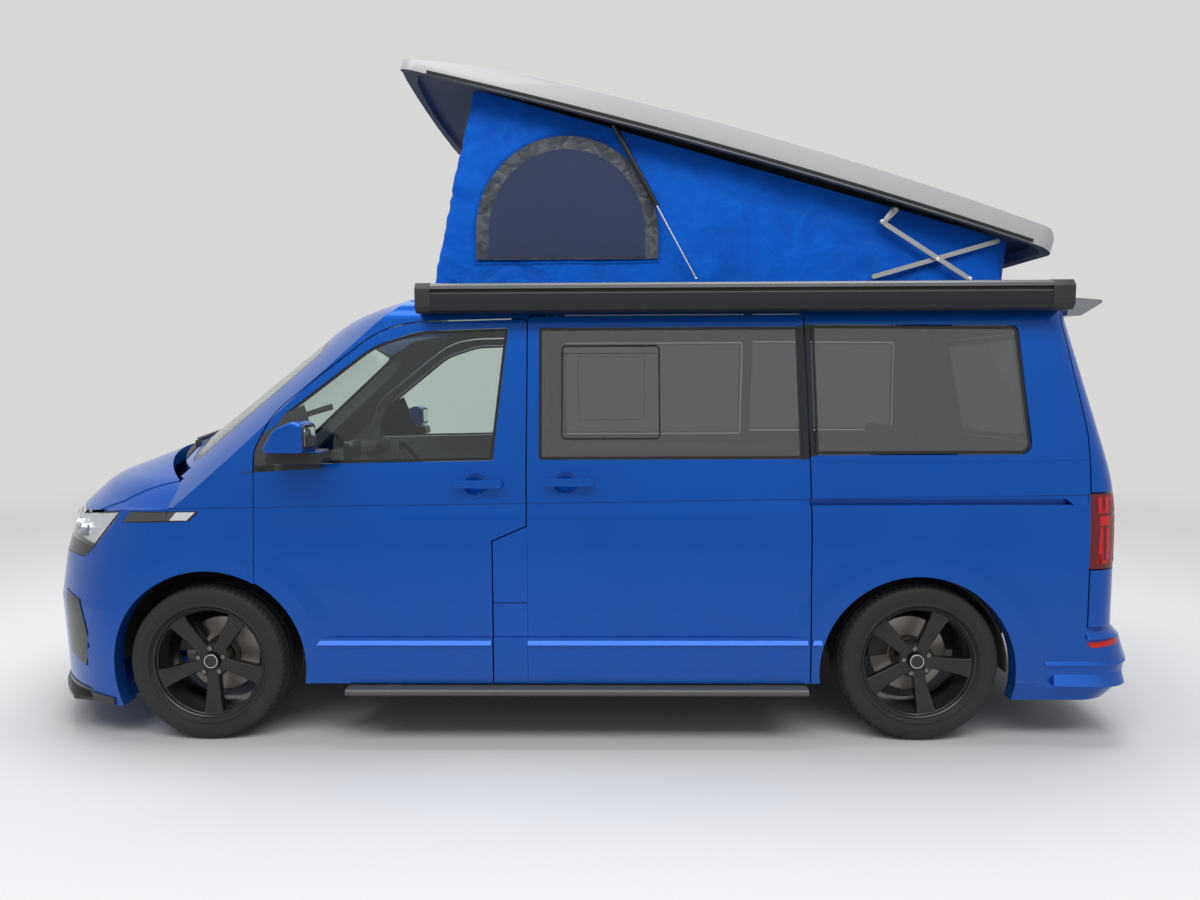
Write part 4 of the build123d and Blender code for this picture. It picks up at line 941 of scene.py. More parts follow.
class VAN_OT_roof_shell(bpy.types.Operator):
    """Dress the raised roof: painted shell with a thin nose, grey lining and the seal along its rim"""

    bl_idname = "van.roof_shell"
    bl_label = "Roof shell"

    def execute(self, context):
        front, rear = Vector((-0.693, 0.0, 2.842)), Vector((2.124, 0.0, 2.054))
        along = (rear - front).normalized()
        up = Vector((-along.z, 0.0, along.x))
        bm = node_bmesh("roof_shell")
        bmesh.ops.dissolve_limit(bm, angle_limit=math.radians(0.6), verts=bm.verts, edges=bm.edges)
        outer = []
        for edge in bm.edges:
            if not edge.is_manifold or edge.calc_face_angle(0.0) < math.radians(25.0):
                continue
            middle = (edge.verts[0].co + edge.verts[1].co) / 2 - front
            if middle.dot(up) > 0.045 and (abs(middle.y) > 0.70 or not 0.2 <= middle.dot(along) <= 2.86):
                outer.append(edge)
        bevel(bm, outer, 0.016, 4)
        for face in bm.faces:
            middle = face.calc_center_median() - front
            inside = abs(middle.y) < 0.69 and middle.dot(up) < 0.06 and 0.03 < middle.dot(along) < 2.89
            if face.normal.dot(up) < -0.5 or inside:
                face.material_index = 1
        self.sharpen_nose(bm, front, along, up)
        finishes = ["roof grey", "roof lining"]
        shell = finish_mesh(bm, "roof_shell_paint", finishes, "roof", smooth_angle=28.0, recalc=False)
        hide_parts("roof_shell")

        bm = bmesh.new()
        length = (rear - front).length
        first, last, steps = 0.13, 2.80, 40
        for sign in SIDES.values():
            points = []
            for step in range(steps + 1):
                part = first + (last - first) * step / steps
                sag = 0.037 * (1 - (2 * part / length - 1) ** 2)
                points.append(front + along * part + up * (sag + 0.006) + RIGHT * (sign * 0.7205))
            strip(bm, points, up, RIGHT * sign, 0.012, 0.006)
        finish_mesh(bm, "roof_seal", "seal", "roof")
        return {"FINISHED"}

    def sharpen_nose(self, bm, front, along, up):
        """Move the front corners ahead and thin the front of the shell."""
        reach, flat, corner, bulge = 0.45, 0.590, 0.670, 0.070
        for vertex in bm.verts:
            place = vertex.co - front
            deep, wide = place.dot(along), abs(place.y)
            bow = bulge * (wide / flat) ** 2
            if wide > flat:
                bow = bulge + 0.100 * ((wide - flat) / 0.130) ** 2.4
            sharp = 0.012 * (wide / 0.720) ** 2 + 0.05 * max(0.0, (wide - corner) / 0.050) ** 2
            behind = (deep - bow) / reach
            if bow > sharp and behind < 1.0:
                vertex.co -= along * (bow - sharp) * (1.0 - max(0.0, behind))
            place = vertex.co - front
            deep, high = place.dot(along), place.dot(up)
            if deep < reach and high > 0.02:
                part = max(0.0, deep) / reach
                vertex.co -= up * (high - 0.02) * 0.55 * (1.0 - part * part * (3.0 - 2.0 * part))


class VAN_OT_tent(bpy.types.Operator):
    """Hang the fabric tent between the roof frame and the raised roof"""

    bl_idname = "van.tent"
    bl_label = "Tent"

    # where the cloth starts and ends along the van, at its foot and at its head
    foot = (-0.583, 1.945)
    head = (-0.391, 1.960)

    def head_z(self, x):
        """Height of the roof's underside."""
        front, rear = 2.790, 2.120
        return front + (x - self.head[0]) * (rear - front) / (self.head[1] - self.head[0])

    def outline(self, span):
        """The cloth's rounded outline at its foot, from the front left corner round."""
        half, corner, long_steps, short_steps = 0.618, 0.05, 90, 36
        points = []

        def arc(x, first):
            for step in range(5):
                turn = math.radians(first + 22.5 * step)
                points.append((x + corner * math.cos(turn), -half + corner + corner * math.sin(turn)))

        arc(corner, 180)
        points += [(corner + (span - 2 * corner) * step / long_steps, -half) for step in range(1, long_steps)]
        arc(span - corner, 270)
        side = list(points)
        width = 2 * half - 2 * corner
        points += [(span, -half + corner + width * step / short_steps) for step in range(1, short_steps)]
        points += [(x, -y) for x, y in reversed(side)]
        points += [(0.0, half - corner - width * step / short_steps) for step in range(1, short_steps)]
        return points

    def execute(self, context):
        depth = context.scene.van_roof.wrinkle_depth
        foot, head, rows = self.foot, self.head, 36
        span = foot[1] - foot[0]
        outline = self.outline(span)
        bm = bmesh.new()
        loops = []
        for row in range(rows + 1):
            level = []
            for x, y in outline:
                top_x = head[0] + x * (head[1] - head[0]) / span
                low = Vector((foot[0] + x, y, TENT_FOOT_Z))
                level.append(bm.verts.new(low.lerp(Vector((top_x, y, self.head_z(top_x))), row / rows)))
            loops.append(loop_edges(bm, level))
        bridge(bm, loops)
        bmesh.ops.recalc_face_normals(bm, faces=bm.faces)
        bm.normal_update()
        for vertex in bm.verts:
            place = vertex.co
            height = (place.z - TENT_FOOT_Z) / max(self.head_z(place.x) - TENT_FOOT_Z, 0.05)
            edge = math.exp(-((place.x - (foot[0] + 0.19 * height)) / 0.16) ** 2)
            low = math.exp(-((place.z - TENT_FOOT_Z) / 0.10) ** 2)
            soft = noise.noise(Vector((place.x * 3.0, place.y * 3.0, place.z * 2.2)))
            fine = noise.noise(Vector((place.x * 16.0 + 5.0, place.y * 9.0, place.z * 30.0)))
            pull = math.sin(place.x * 34.0 + place.z * 9.0 + soft * 4.0)
            amount = soft * 0.9 + fine * (0.25 + 1.1 * edge) + pull * (0.05 + 0.5 * low)
            inner = 1.0 - math.exp(-((1.0 - height) / 0.04) ** 2) if height < 1 else 0.0
            vertex.co += vertex.normal * (amount * depth * min(1.0, height / 0.03) * inner - depth * 0.5)
        tent = finish_mesh(bm, "tent_cloth", "tent blue", smooth_angle=60.0)
        thicken(tent, "cloth", 0.0025)
        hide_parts("roof_tent")
        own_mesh(tent)
        return {"FINISHED"}


class VAN_OT_front_strips(bpy.types.Operator):
    """Run the grey strip from each headlamp to its white indicator"""

    bl_idname = "van.front_strips"
    bl_label = "Lamp strips"

    def execute(self, context):
        base = [(-1.846, 0.935), (-1.548, 0.943), (-1.506, 0.984), (-1.798, 0.984)]
        grey = [(-1.838, 0.940), (-1.634, 0.947), (-1.606, 0.980), (-1.801, 0.980)]
        white = [(-1.629, 0.947), (-1.556, 0.947), (-1.521, 0.980), (-1.601, 0.980)]
        for side, sign in SIDES.items():
            patch(f"lamp_strip_{side}", "front_wings", sign, [base], 0.0015, "gloss black")
            patch(f"lamp_strip_face_{side}", "front_wings", sign, [grey], 0.0028, "strip grey")
            patch(f"side_indicator_{side}", "front_wings", sign, [white], 0.0040, "white lens")
        return {"FINISHED"}


class VAN_OT_headlamps(bpy.types.Operator):
    """Glaze the headlamps over their bright bowls"""

    bl_idname = "van.headlamps"
    bl_label = "Headlamps"

    def skin(self, borders):
        """The lamps' front skin, cut along the borders of its dark parts."""
        middle = Vector((-1.2, 0.0, 0.88))
        bm = node_bmesh("headlamps")
        bm.normal_update()
        rest = [
            face for face in bm.faces
            if abs(face.normal.y) < 0.02 or face.normal.dot(face.calc_center_median() - middle) < 0.2
        ]
        bmesh.ops.delete(bm, geom=rest, context="FACES")
        long_edges = [edge for edge in bm.edges if edge.calc_length() > 0.05]
        bmesh.ops.subdivide_edges(bm, edges=long_edges, cuts=2, use_grid_fill=True)
        for at, out in borders:
            cut(bm, at, out)
        bm.normal_update()
        return bm

    def execute(self, context):
        edge_out = Vector((0.722, 0.0, -0.692))
        edge = Vector((-2.000, 0.0, 0.818)) - edge_out * 0.011
        lip, lip_out = Vector((-2.079, 0.0, 0.829)), Vector((-0.10, 0.0, -1.0)).normalized()
        borders = ((edge, edge_out), (lip, lip_out))
        lens_skin, bowl_skin = self.skin(borders), self.skin(borders)
        for face in lens_skin.faces:
            middle = face.calc_center_median()
            if any((middle - at).dot(out) > 0 for at, out in borders):
                face.material_index = 1
        tree = BVHTree.FromBMesh(lens_skin)
        lens = finish_mesh(lens_skin, "headlamp_lenses", ["lamp lens", "gloss black"], smooth_angle=40.0, recalc=False)
        thicken(lens, "wall", 0.0025)
        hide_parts("headlamps")
        for vertex in bowl_skin.verts:
            vertex.co -= vertex.normal * 0.024
        bowl = finish_mesh(bowl_skin, "headlamp_bowls", "lamp chrome", smooth_angle=40.0, recalc=False)
        thicken(bowl, "wall", 0.0020)
        chrome, glassy, dark = bmesh.new(), bmesh.new(), bmesh.new()
        size, height = 0.031, 0.880
        for y in (-0.60, -0.745, 0.60, 0.745):
            spot, normal, _, _ = tree.ray_cast(Vector((-3.0, y, height)), REAR)
            ahead = (normal + Vector((-1.6, 0.0, 0.0))).normalized()
            turn = ahead.to_track_quat("Z", "Y").to_matrix().to_4x4()
            centre = spot - ahead * 0.028
            bmesh.ops.create_cone(
                chrome, cap_ends=False, segments=32, radius1=size * 0.62, radius2=size, depth=0.026,
                matrix=Matrix.Translation(centre) @ turn,
            )
            bmesh.ops.create_cone(
                dark, cap_ends=True, segments=32, radius1=size * 0.9, radius2=size * 0.9, depth=0.004,
                matrix=Matrix.Translation(centre - ahead * 0.012) @ turn,
            )
            bmesh.ops.create_uvsphere(
                glassy, u_segments=24, v_segments=14, radius=size * 0.66,
                matrix=Matrix.Translation(centre - ahead * 0.004) @ turn,
            )
        rims = finish_mesh(chrome, "headlamp_rims", "lamp chrome", smooth_angle=40.0)
        thicken(rims, "wall", 0.0012, inward=False)
        finish_mesh(dark, "headlamp_backs", "gloss black", smooth_angle=40.0)
        finish_mesh(glassy, "headlamp_projectors", "lamp lens", smooth_angle=40.0)
        return {"FINISHED"}


class VAN_OT_tail_lamps(bpy.types.Operator):
    """Lay the bright red light guides on the dark red tail lamps"""

    bl_idname = "van.tail_lamps"
    bl_label = "Tail lamps"

    def execute(self, context):
        side_view = [
            box(2.208, 2.226, 0.969, 1.036), box(2.239, 2.260, 0.969, 1.036), box(2.227, 2.238, 0.969, 0.984),
            box(2.216, 2.266, 0.917, 0.957),
            [(2.209, 0.760), (2.236, 0.776), (2.231, 0.911), (2.218, 0.911)],
            [(2.247, 0.776), (2.266, 0.760), (2.267, 0.911), (2.246, 0.911)], box(2.215, 2.262, 0.760, 0.775),
            [(2.216, 0.760), (2.231, 0.760), (2.237, 0.800), (2.212, 0.800)],
        ]
        paint_node("tail_lamps", "red lens")
        for side, sign in SIDES.items():
            patch(f"tail_guides_{side}", "tail_lamps", sign, side_view, 0.0016, "red guide")
            rear_view = [
                box(near * sign, far * sign, low, high)
                for near, far in ((0.822, 0.836), (0.884, 0.898)) for low, high in ((0.969, 1.036), (0.760, 0.911))
            ]
            for low, high in ((0.969, 0.984), (0.760, 0.776), (0.917, 0.957)):
                rear_view.append(box(0.822 * sign, 0.898 * sign, low, high))
            patch(f"tail_guides_rear_{side}", "tail_lamps", 1, rear_view, 0.0016, "red guide", across="x")
        return {"FINISHED"}


class VAN_OT_front_bumper_details(bpy.types.Operator):
    """Set the side intakes and the black lip on the front bumper"""

    bl_idname = "van.front_bumper_details"
    bl_label = "Front bumper details"

    def execute(self, context):
        intake = [(-2.205, 0.612), (-2.092, 0.586), (-2.036, 0.398), (-2.070, 0.296), (-2.205, 0.335)]
        lip = [(-2.260, 0.150), (-1.900, 0.150), (-1.900, 0.198), (-2.085, 0.200), (-2.260, 0.215)]
        for side, sign in SIDES.items():
            for name, outline, depth in (("intake", intake, 0.004), ("lip", lip, 0.006)):
                patch(f"front_{name}_{side}", "front_bumper", sign, [outline], depth, "gloss black", least=0.12)
        return {"FINISHED"}


class VAN_OT_rear_bumper_details(bpy.types.Operator):
    """Set the reflectors, ledge, crease and lower blades on the rear bumper"""

    bl_idname = "van.rear_bumper_details"
    bl_label = "Rear bumper details"

    def execute(self, context):
        reflector = [(2.197, 0.407), (2.329, 0.419), (2.323, 0.442), (2.178, 0.428)]
        blade = [(2.036, 0.256), (2.360, 0.250), (2.360, 0.296), (2.046, 0.296)]
        for side, sign in SIDES.items():
            patch(f"rear_reflector_{side}", "rear_bumper", sign, [reflector], 0.003, "red guide")
            for label, outline, depth, ramp in (
                ("ledge", box(2.010, 2.400, 0.446, 0.478), 0.016, (0.478, 0.446)),
                ("crease", box(2.006, 2.380, 0.336, 0.350), 0.010, (0.350, 0.336)),
                ("blade", blade, 0.034, (0.296, 0.252)),
            ):
                patch(f"rear_{label}_{side}", "rear_bumper", sign, [outline], depth, "body blue", ramp=ramp)
        return {"FINISHED"}


class VAN_OT_mirrors(bpy.types.Operator):
    """Split the door mirrors into blue cap, black foot and glass, and fit the corner panels"""

    bl_idname = "van.mirrors"
    bl_label = "Mirrors"

    def execute(self, context):
        wing = [(-1.374, 1.170), (-1.345, 1.143), (-1.284, 1.143), (-1.284, 1.262)]
        door = [(-1.275, 1.146), (-1.190, 1.150), (-1.190, 1.342), (-1.238, 1.305), (-1.275, 1.272)]
        door_foot = [(-1.275, 1.146), (-0.992, 1.160), (-0.992, 1.176), (-1.275, 1.176)]
        glass = [(-1.226, 1.178), (-0.990, 1.178), (-1.075, 1.424), (-1.168, 1.380), (-1.226, 1.280)]
        split, at = Vector((0.06, 0.0, 1.0)).normalized(), Vector((-1.165, 0.0, 1.247))
        for side, sign in SIDES.items():
            body = f"door_{side}"
            bm = node_bmesh(f"mirror_{side}")
            cut(bm, at, split)
            bm.normal_update()
            for face in bm.faces:
                middle = face.calc_center_median()
                if (middle - at).dot(split) < 0 or abs(middle.y) < 0.984:
                    face.material_index = 1
            finishes = ["body blue", "black trim"]
            mirror = finish_mesh(bm, f"mirror_{side}_housing", finishes, body, smooth_angle=38.0, recalc=False)
            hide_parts(f"mirror_{side}")
            for name, inset, near, far, finish in (
                ("bezel", 0.0, -0.996, -0.9855, "black trim"), ("glass", 0.009, -0.9865, -0.9846, "mirror glass"),
            ):
                low, high = sorted((sign * (1.000 + inset), sign * (1.141 - inset)))
                outline = rounded_outline([
                    (low, 1.256 + inset, 0.016), (high, 1.256 + inset, 0.016), (high, 1.350 - inset, 0.022),
                    (low, 1.350 - inset, 0.022),
                ])
                slab(f"mirror_{side}_{name}", outline, "front", near, far, finish, body, 0.001)
            for name, node, outlines, depth, rides in (
                ("wing", "front_wings", [wing], 0.002, "van"),
                ("door", f"front_door_{side}", [door, door_foot], 0.002, body),
                ("glass", f"front_door_glass_{side}", [glass], 0.006, body),
            ):
                patch(f"corner_panel_{name}_{side}", node, sign, outlines, depth, "corner grey", rides)
        return {"FINISHED"}


class VAN_OT_awning(bpy.types.Operator):
    """Extrude the awning case with its rail groove and close it with end caps"""

    bl_idname = "van.awning"
    bl_label = "Awning"

    def execute(self, context):
        profile = [
            (-0.7780, 1.8040), (-0.8860, 1.8030), (-0.8970, 1.8110), (-0.9005, 1.8240), (-0.9020, 1.8500),
            (-0.9012, 1.8770), (-0.9024, 1.8785), (-0.9024, 1.8810), (-0.9008, 1.8822), (-0.8915, 1.8830),
            (-0.8915, 1.8975), (-0.9000, 1.8985), (-0.8975, 1.9120), (-0.8890, 1.9205), (-0.8760, 1.9235),
            (-0.7780, 1.9235),
        ]
        cap = rounded_outline([
            (-0.776, 1.8025, 0.004), (-0.888, 1.8015, 0.014), (-0.9045, 1.825, 0.012), (-0.9045, 1.900, 0.016),
            (-0.884, 1.925, 0.014), (-0.776, 1.925, 0.004),
        ], 4)
        bracket = [(-0.780, 1.812), (-0.735, 1.806), (-0.735, 1.872), (-0.780, 1.905)]
        bm = bmesh.new()
        prism(bm, profile, "front", -0.532, 2.016)
        bm.normal_update()
        for face in bm.faces:
            middle = face.calc_center_median()
            if -0.8999 < middle.y < -0.88 and 1.882 < middle.z < 1.8988:
                face.material_index = 1
            # painted highlight: the top faces and the thin bead under the groove get a lighter grey
            elif 1.877 < middle.z < 1.8825 or middle.z > 1.898:
                face.material_index = 2
        finishes = ["awning anthracite", "seal", "awning painted highlight"]
        case = finish_mesh(bm, "awning_body", finishes, "van", 30.0)
        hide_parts("awning_case")
        bm = bmesh.new()
        for near, far in ((-0.594, -0.530), (2.014, 2.103)):
            prism(bm, cap, "front", near, far, 0.005, 3)
        finish_mesh(bm, "awning_caps", "black trim")
        bm = bmesh.new()
        for x in (-0.30, 0.55, 1.40, 1.90):
            prism(bm, bracket, "front", x - 0.045, x + 0.045, 0.003)
        finish_mesh(bm, "awning_brackets", "dark steel")
        return {"FINISHED"}


class VAN_OT_tent_windows(bpy.types.Operator):
    """Sew the arched mesh windows into the tent's sides"""

    bl_idname = "van.tent_windows"
    bl_label = "Tent windows"

    def arched(self, inset, foot):
        """Outline of an arch, inset all round and lifted at its foot."""
        sill = [(-0.389 + inset, 2.044 + foot), (0.430 - inset, 2.044 + foot)]
        turns = [math.pi * step / 36 for step in range(37)]
        wide, high = 0.4095 - inset, 0.420 - inset
        return sill + [(0.0205 + wide * math.cos(turn), 2.172 + high * math.sin(turn)) for turn in turns]

    def panel(self, name, sign, outline, depth, finish, crease):
        """Creased panel of film or mesh."""
        bm = bmesh.new()
        face = bm.faces.new([bm.verts.new((x, sign * depth, z)) for x, z in outline])
        bmesh.ops.triangulate(bm, faces=[face])
        for _ in range(5):
            bmesh.ops.subdivide_edges(bm, edges=[e for e in bm.edges if e.calc_length() > 0.02], cuts=1)
            bmesh.ops.triangulate(bm, faces=bm.faces)
        for vertex in bm.verts:
            place = vertex.co
            folds = noise.noise(Vector((place.x * 14.0, sign, place.z * 14.0)))
            folds += 0.6 * noise.noise(Vector((place.x * 37.0, 4.0, place.z * 37.0)))
            vertex.co.y += sign * crease * (folds - 0.4)
        bm.normal_update()
        if sum(one.normal.y for one in bm.faces) * sign < 0:
            bmesh.ops.reverse_faces(bm, faces=bm.faces)
        piece = finish_mesh(bm, name, finish, smooth_angle=80.0, recalc=False)
        thicken(piece, "wall", 0.0012)
        return piece

    def execute(self, context):
        for side, sign in SIDES.items():
            bm = bmesh.new()
            ring(bm, self.arched(0.0, 0.0), 0.013, "side", sign * 0.6215, sign * 0.6270)
            bmesh.ops.recalc_face_normals(bm, faces=bm.faces)
            pieces = [finish_mesh(bm, f"tent_window_edge_{side}", "seal")]
            for name, inset, foot, depth, finish, crease in (
                ("film", 0.009, 0.009, 0.6245, "tent film", 0.0016),
                ("mesh", 0.066, 0.016, 0.6268, "tent mesh", 0.0005),
            ):
                outline = self.arched(inset, foot)
                pieces.append(self.panel(f"tent_window_{name}_{side}", sign, outline, depth, finish, crease))
            for piece in pieces:
                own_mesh(piece)
        return {"FINISHED"}


class VAN_OT_wipers(bpy.types.Operator):
    """Park the wipers on the windscreen and the tailgate glass"""

    bl_idname = "van.wipers"
    bl_label = "Wipers"

    def execute(self, context):
        screen = BVHTree.FromBMesh(node_bmesh("windscreen"))

        def on_screen(points, clear):
            """The points (y, z) laid on the glass, without those that miss it."""
            spots = [hit(screen, (-3.0, y, z), REAR) for y, z in points]
            return [spot + SCREEN_OUT * clear for spot in spots if spot]

        for name, pivot_y, tip_y, tip_z in (("near", -0.36, 0.26, 1.30), ("far", 0.36, 0.66, 1.36)):
            foot = Vector((-1.775, pivot_y, 1.232))
            wide, tall = tip_y - pivot_y, tip_z - 1.222
            arm = [(pivot_y + wide * part, 1.222 + tall * part) for part in (0.12, 0.4, 0.7, 0.95)]
            bm = bmesh.new()
            rod(bm, foot - UP * 0.03, foot + UP * 0.012, 0.013, 16, 0.003)
            points = [foot] + on_screen(arm, 0.022)[:3]
            strip(bm, points, Vector((0, 0.25, 1)).normalized(), SCREEN_OUT, 0.016, 0.009)
            finish_mesh(bm, f"wiper_arm_{name}", "black trim")
            start, wide = pivot_y - 0.02, wide + 0.06
            blade = [(start + wide * part, 1.232 + tall * part) for part in (0.25, 0.45, 0.65, 0.85, 1.0)]
            bm = bmesh.new()
            strip(bm, on_screen(blade, 0.010), Vector((0, 0.2, 1)).normalized(), SCREEN_OUT, 0.012, 0.014)
            finish_mesh(bm, f"wiper_blade_{name}", "seal")
        glass = BVHTree.FromBMesh(node_bmesh("tailgate_glass"))
        points = [
            hit(glass, (3.0, y, z), -REAR) + REAR * 0.010
            for y, z in ((0.02, 1.235), (-0.12, 1.245), (-0.28, 1.256), (-0.42, 1.264))
        ]
        bm = bmesh.new()
        rod(bm, points[0] + Vector((-0.018, 0, -0.01)), points[0] + Vector((0.022, 0, -0.01)), 0.022, 20, 0.004)
        strip(bm, points, UP, REAR, 0.018, 0.016)
        finish_mesh(bm, "wiper_rear", "black trim", "tailgate_lid")
        return {"FINISHED"}


class VAN_OT_arm_pins(bpy.types.Operator):
    """Pin the roof's lift and stay arms and fit the roof's link plates"""

    bl_idname = "van.arm_pins"
    bl_label = "Arm pins"

    def execute(self, context):
        for name, body, x, z, radius, inner in (
            ("stay_foot", "van", 1.773, 1.953, 0.009, 0.6465), ("stay_tip", "stay_links", 1.388, 2.200, 0.009, 0.6465),
            ("crossing", "lift_links", 1.631, 2.037, 0.008, 0.628),
        ):
            bm = bmesh.new()
            for sign in SIDES.values():
                rod(bm, (x, sign * inner, z), (x, sign * 0.6625, z), radius, 20, 0.002)
            finish_mesh(bm, f"pin_{name}", "bright metal", body)
        outline = rounded_outline([
            (1.375, 2.190, 0.010), (1.395, 2.186, 0.010), (1.458, 2.246, 0.010), (1.452, 2.262, 0.006),
            (1.430, 2.262, 0.006),
        ], 4)
        bm = bmesh.new()
        for sign in SIDES.values():
            prism(bm, outline, "side", sign * 0.6575, sign * 0.6635, 0.001)
            rod(bm, (1.443, sign * 0.657, 2.253), (1.443, sign * 0.668, 2.253), 0.008, 20, 0.002)
        finish_mesh(bm, "stay_link_plates", "bare aluminium", "roof")
        return {"FINISHED"}


def cushion(size, place, tilt, channels=(), crown=0.16, power=6.0, cuts=13):
    """A stuffed form: rounded corners, sides that pull in between them, a crowned top with sewn channels."""
    channel_depth, channel_width, waist = 0.02, 0.03, 0.04
    bm = bmesh.new()
    bmesh.ops.create_cube(bm, size=2.0)
    bmesh.ops.subdivide_edges(bm, edges=bm.edges[:], cuts=cuts, use_grid_fill=True)
    turn = Matrix.Rotation(tilt, 3, "Y")
    for vertex in bm.verts:
        u = vertex.co
        reach = (abs(u.x) ** power + abs(u.y) ** power + abs(u.z) ** power) ** (1 / power)
        u = u * (max(abs(u.x), abs(u.y), abs(u.z)) / reach)
        full = Vector((
            u.x * (1 - waist * (1 - u.y * u.y) * (1 - abs(u.z))), u.y * (1 - waist * (1 - u.x * u.x) * (1 - abs(u.z))),
            u.z * (1 - crown + crown * (1 - u.x * u.x) * (1 - u.y * u.y)),
        ))
        if u.z > 0:
            for at in channels:
                sunk = math.exp(-((u.x - at) / channel_width) ** 2)
                full.z -= channel_depth * sunk / (size[2] / 2) * min(1.0, u.z * 2)
        spot = Vector((full.x * size[0] / 2, full.y * size[1] / 2, full.z * size[2] / 2))
        vertex.co = turn @ spot + Vector(place)
    return bm


def padded_piece(name, finish, slot, size, x, y, z, tilt, shifts=(0.0,), fill=0.8, **form):
    """One padded piece of stuffed forms, one for each sideways shift, smoothed."""
    bm = bmesh.new()
    for shift in shifts:
        join(bm, cushion(size, (x, y + shift, z), math.radians(tilt), **form))
    piece = finish_mesh(bm, name, finish, "van", 180.0)
    smooth = piece.modifiers.new("smooth", "SUBSURF")
    smooth.levels = smooth.render_levels = 1
    return piece


class VAN_OT_front_seats(bpy.types.Operator):
    """Upholster the two front seats"""

    bl_idname = "van.front_seats"
    bl_label = "Front seats"

    def execute(self, context):
        slot = slot_of("front_seats")
        side_form = dict(power=3.5, crown=0.25, cuts=9)
        for side, sign in SIDES.items():
            y = sign * 0.400
            padded_piece(
                f"seat_cushion_{side}", "seat cloth", slot, (0.50, 0.34, 0.13), -0.500, y, 0.735, 4.0,
                channels=(-0.2, 0.35),
            )
            padded_piece(
                f"seat_cushion_sides_{side}", "seat leather", slot, (0.48, 0.10, 0.15), -0.490, y, 0.740, 4.0,
                (-0.195, 0.195), **side_form,
            )
            padded_piece(
                f"seat_back_{side}", "seat cloth", slot, (0.52, 0.33, 0.12), -0.235, y, 1.030, -75.5,
                channels=(-0.35, 0.25),
            )
            padded_piece(
                f"seat_back_sides_{side}", "seat leather", slot, (0.50, 0.095, 0.15), -0.240, y, 1.020, -75.5,
                (-0.19, 0.19), **side_form,
            )
            padded_piece(
                f"seat_headrest_{side}", "seat leather", slot, (0.15, 0.25, 0.085), -0.135, y, 1.395, -82.0,
                power=3.5, crown=0.2, cuts=9,
            )
            bm = bmesh.new()
            for shift in (-0.06, 0.06):
                rod(bm, (-0.165, y + shift, 1.24), (-0.140, y + shift, 1.36), 0.006, 12)
            finish_mesh(bm, f"seat_headrest_posts_{side}", "bright metal")
            plinth = [(-0.655, 0.482, 0.01), (-0.285, 0.482, 0.01), (-0.245, 0.672, 0.03), (-0.690, 0.672, 0.03)]
            slab(
                f"seat_plinth_{side}", rounded_outline(plinth, 4), "side", y - 0.195, y + 0.195, "cabin plastic",
                bevel_width=0.006,
            )
        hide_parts("front_seats")
        return {"FINISHED"}


class VAN_OT_rear_bench(bpy.types.Operator):
    """Upholster the rear bench"""

    bl_idname = "van.rear_bench"
    bl_label = "Rear bench"

    def execute(self, context):
        slot = slot_of("rear_bench")
        for name, y in (("near", -0.345), ("far", 0.005)):
            padded_piece(
                f"bench_cushion_{name}", "seat cloth", slot, (0.52, 0.345, 0.15), 1.270, y, 0.715, 2.0,
                channels=(-0.3, 0.3),
            )
            padded_piece(
                f"bench_back_{name}", "seat cloth", slot, (0.56, 0.345, 0.12), 1.555, y, 1.020, -77.5,
                channels=(-0.3, 0.3),
            )
        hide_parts("rear_bench")
        base = [(1.085, 0.482, 0.01), (1.555, 0.482, 0.01), (1.600, 0.640, 0.02), (1.030, 0.640, 0.02)]
        slab("bench_box", rounded_outline(base, 4), "side", -0.50, 0.15, "cabin plastic", bevel_width=0.006)
        return {"FINISHED"}


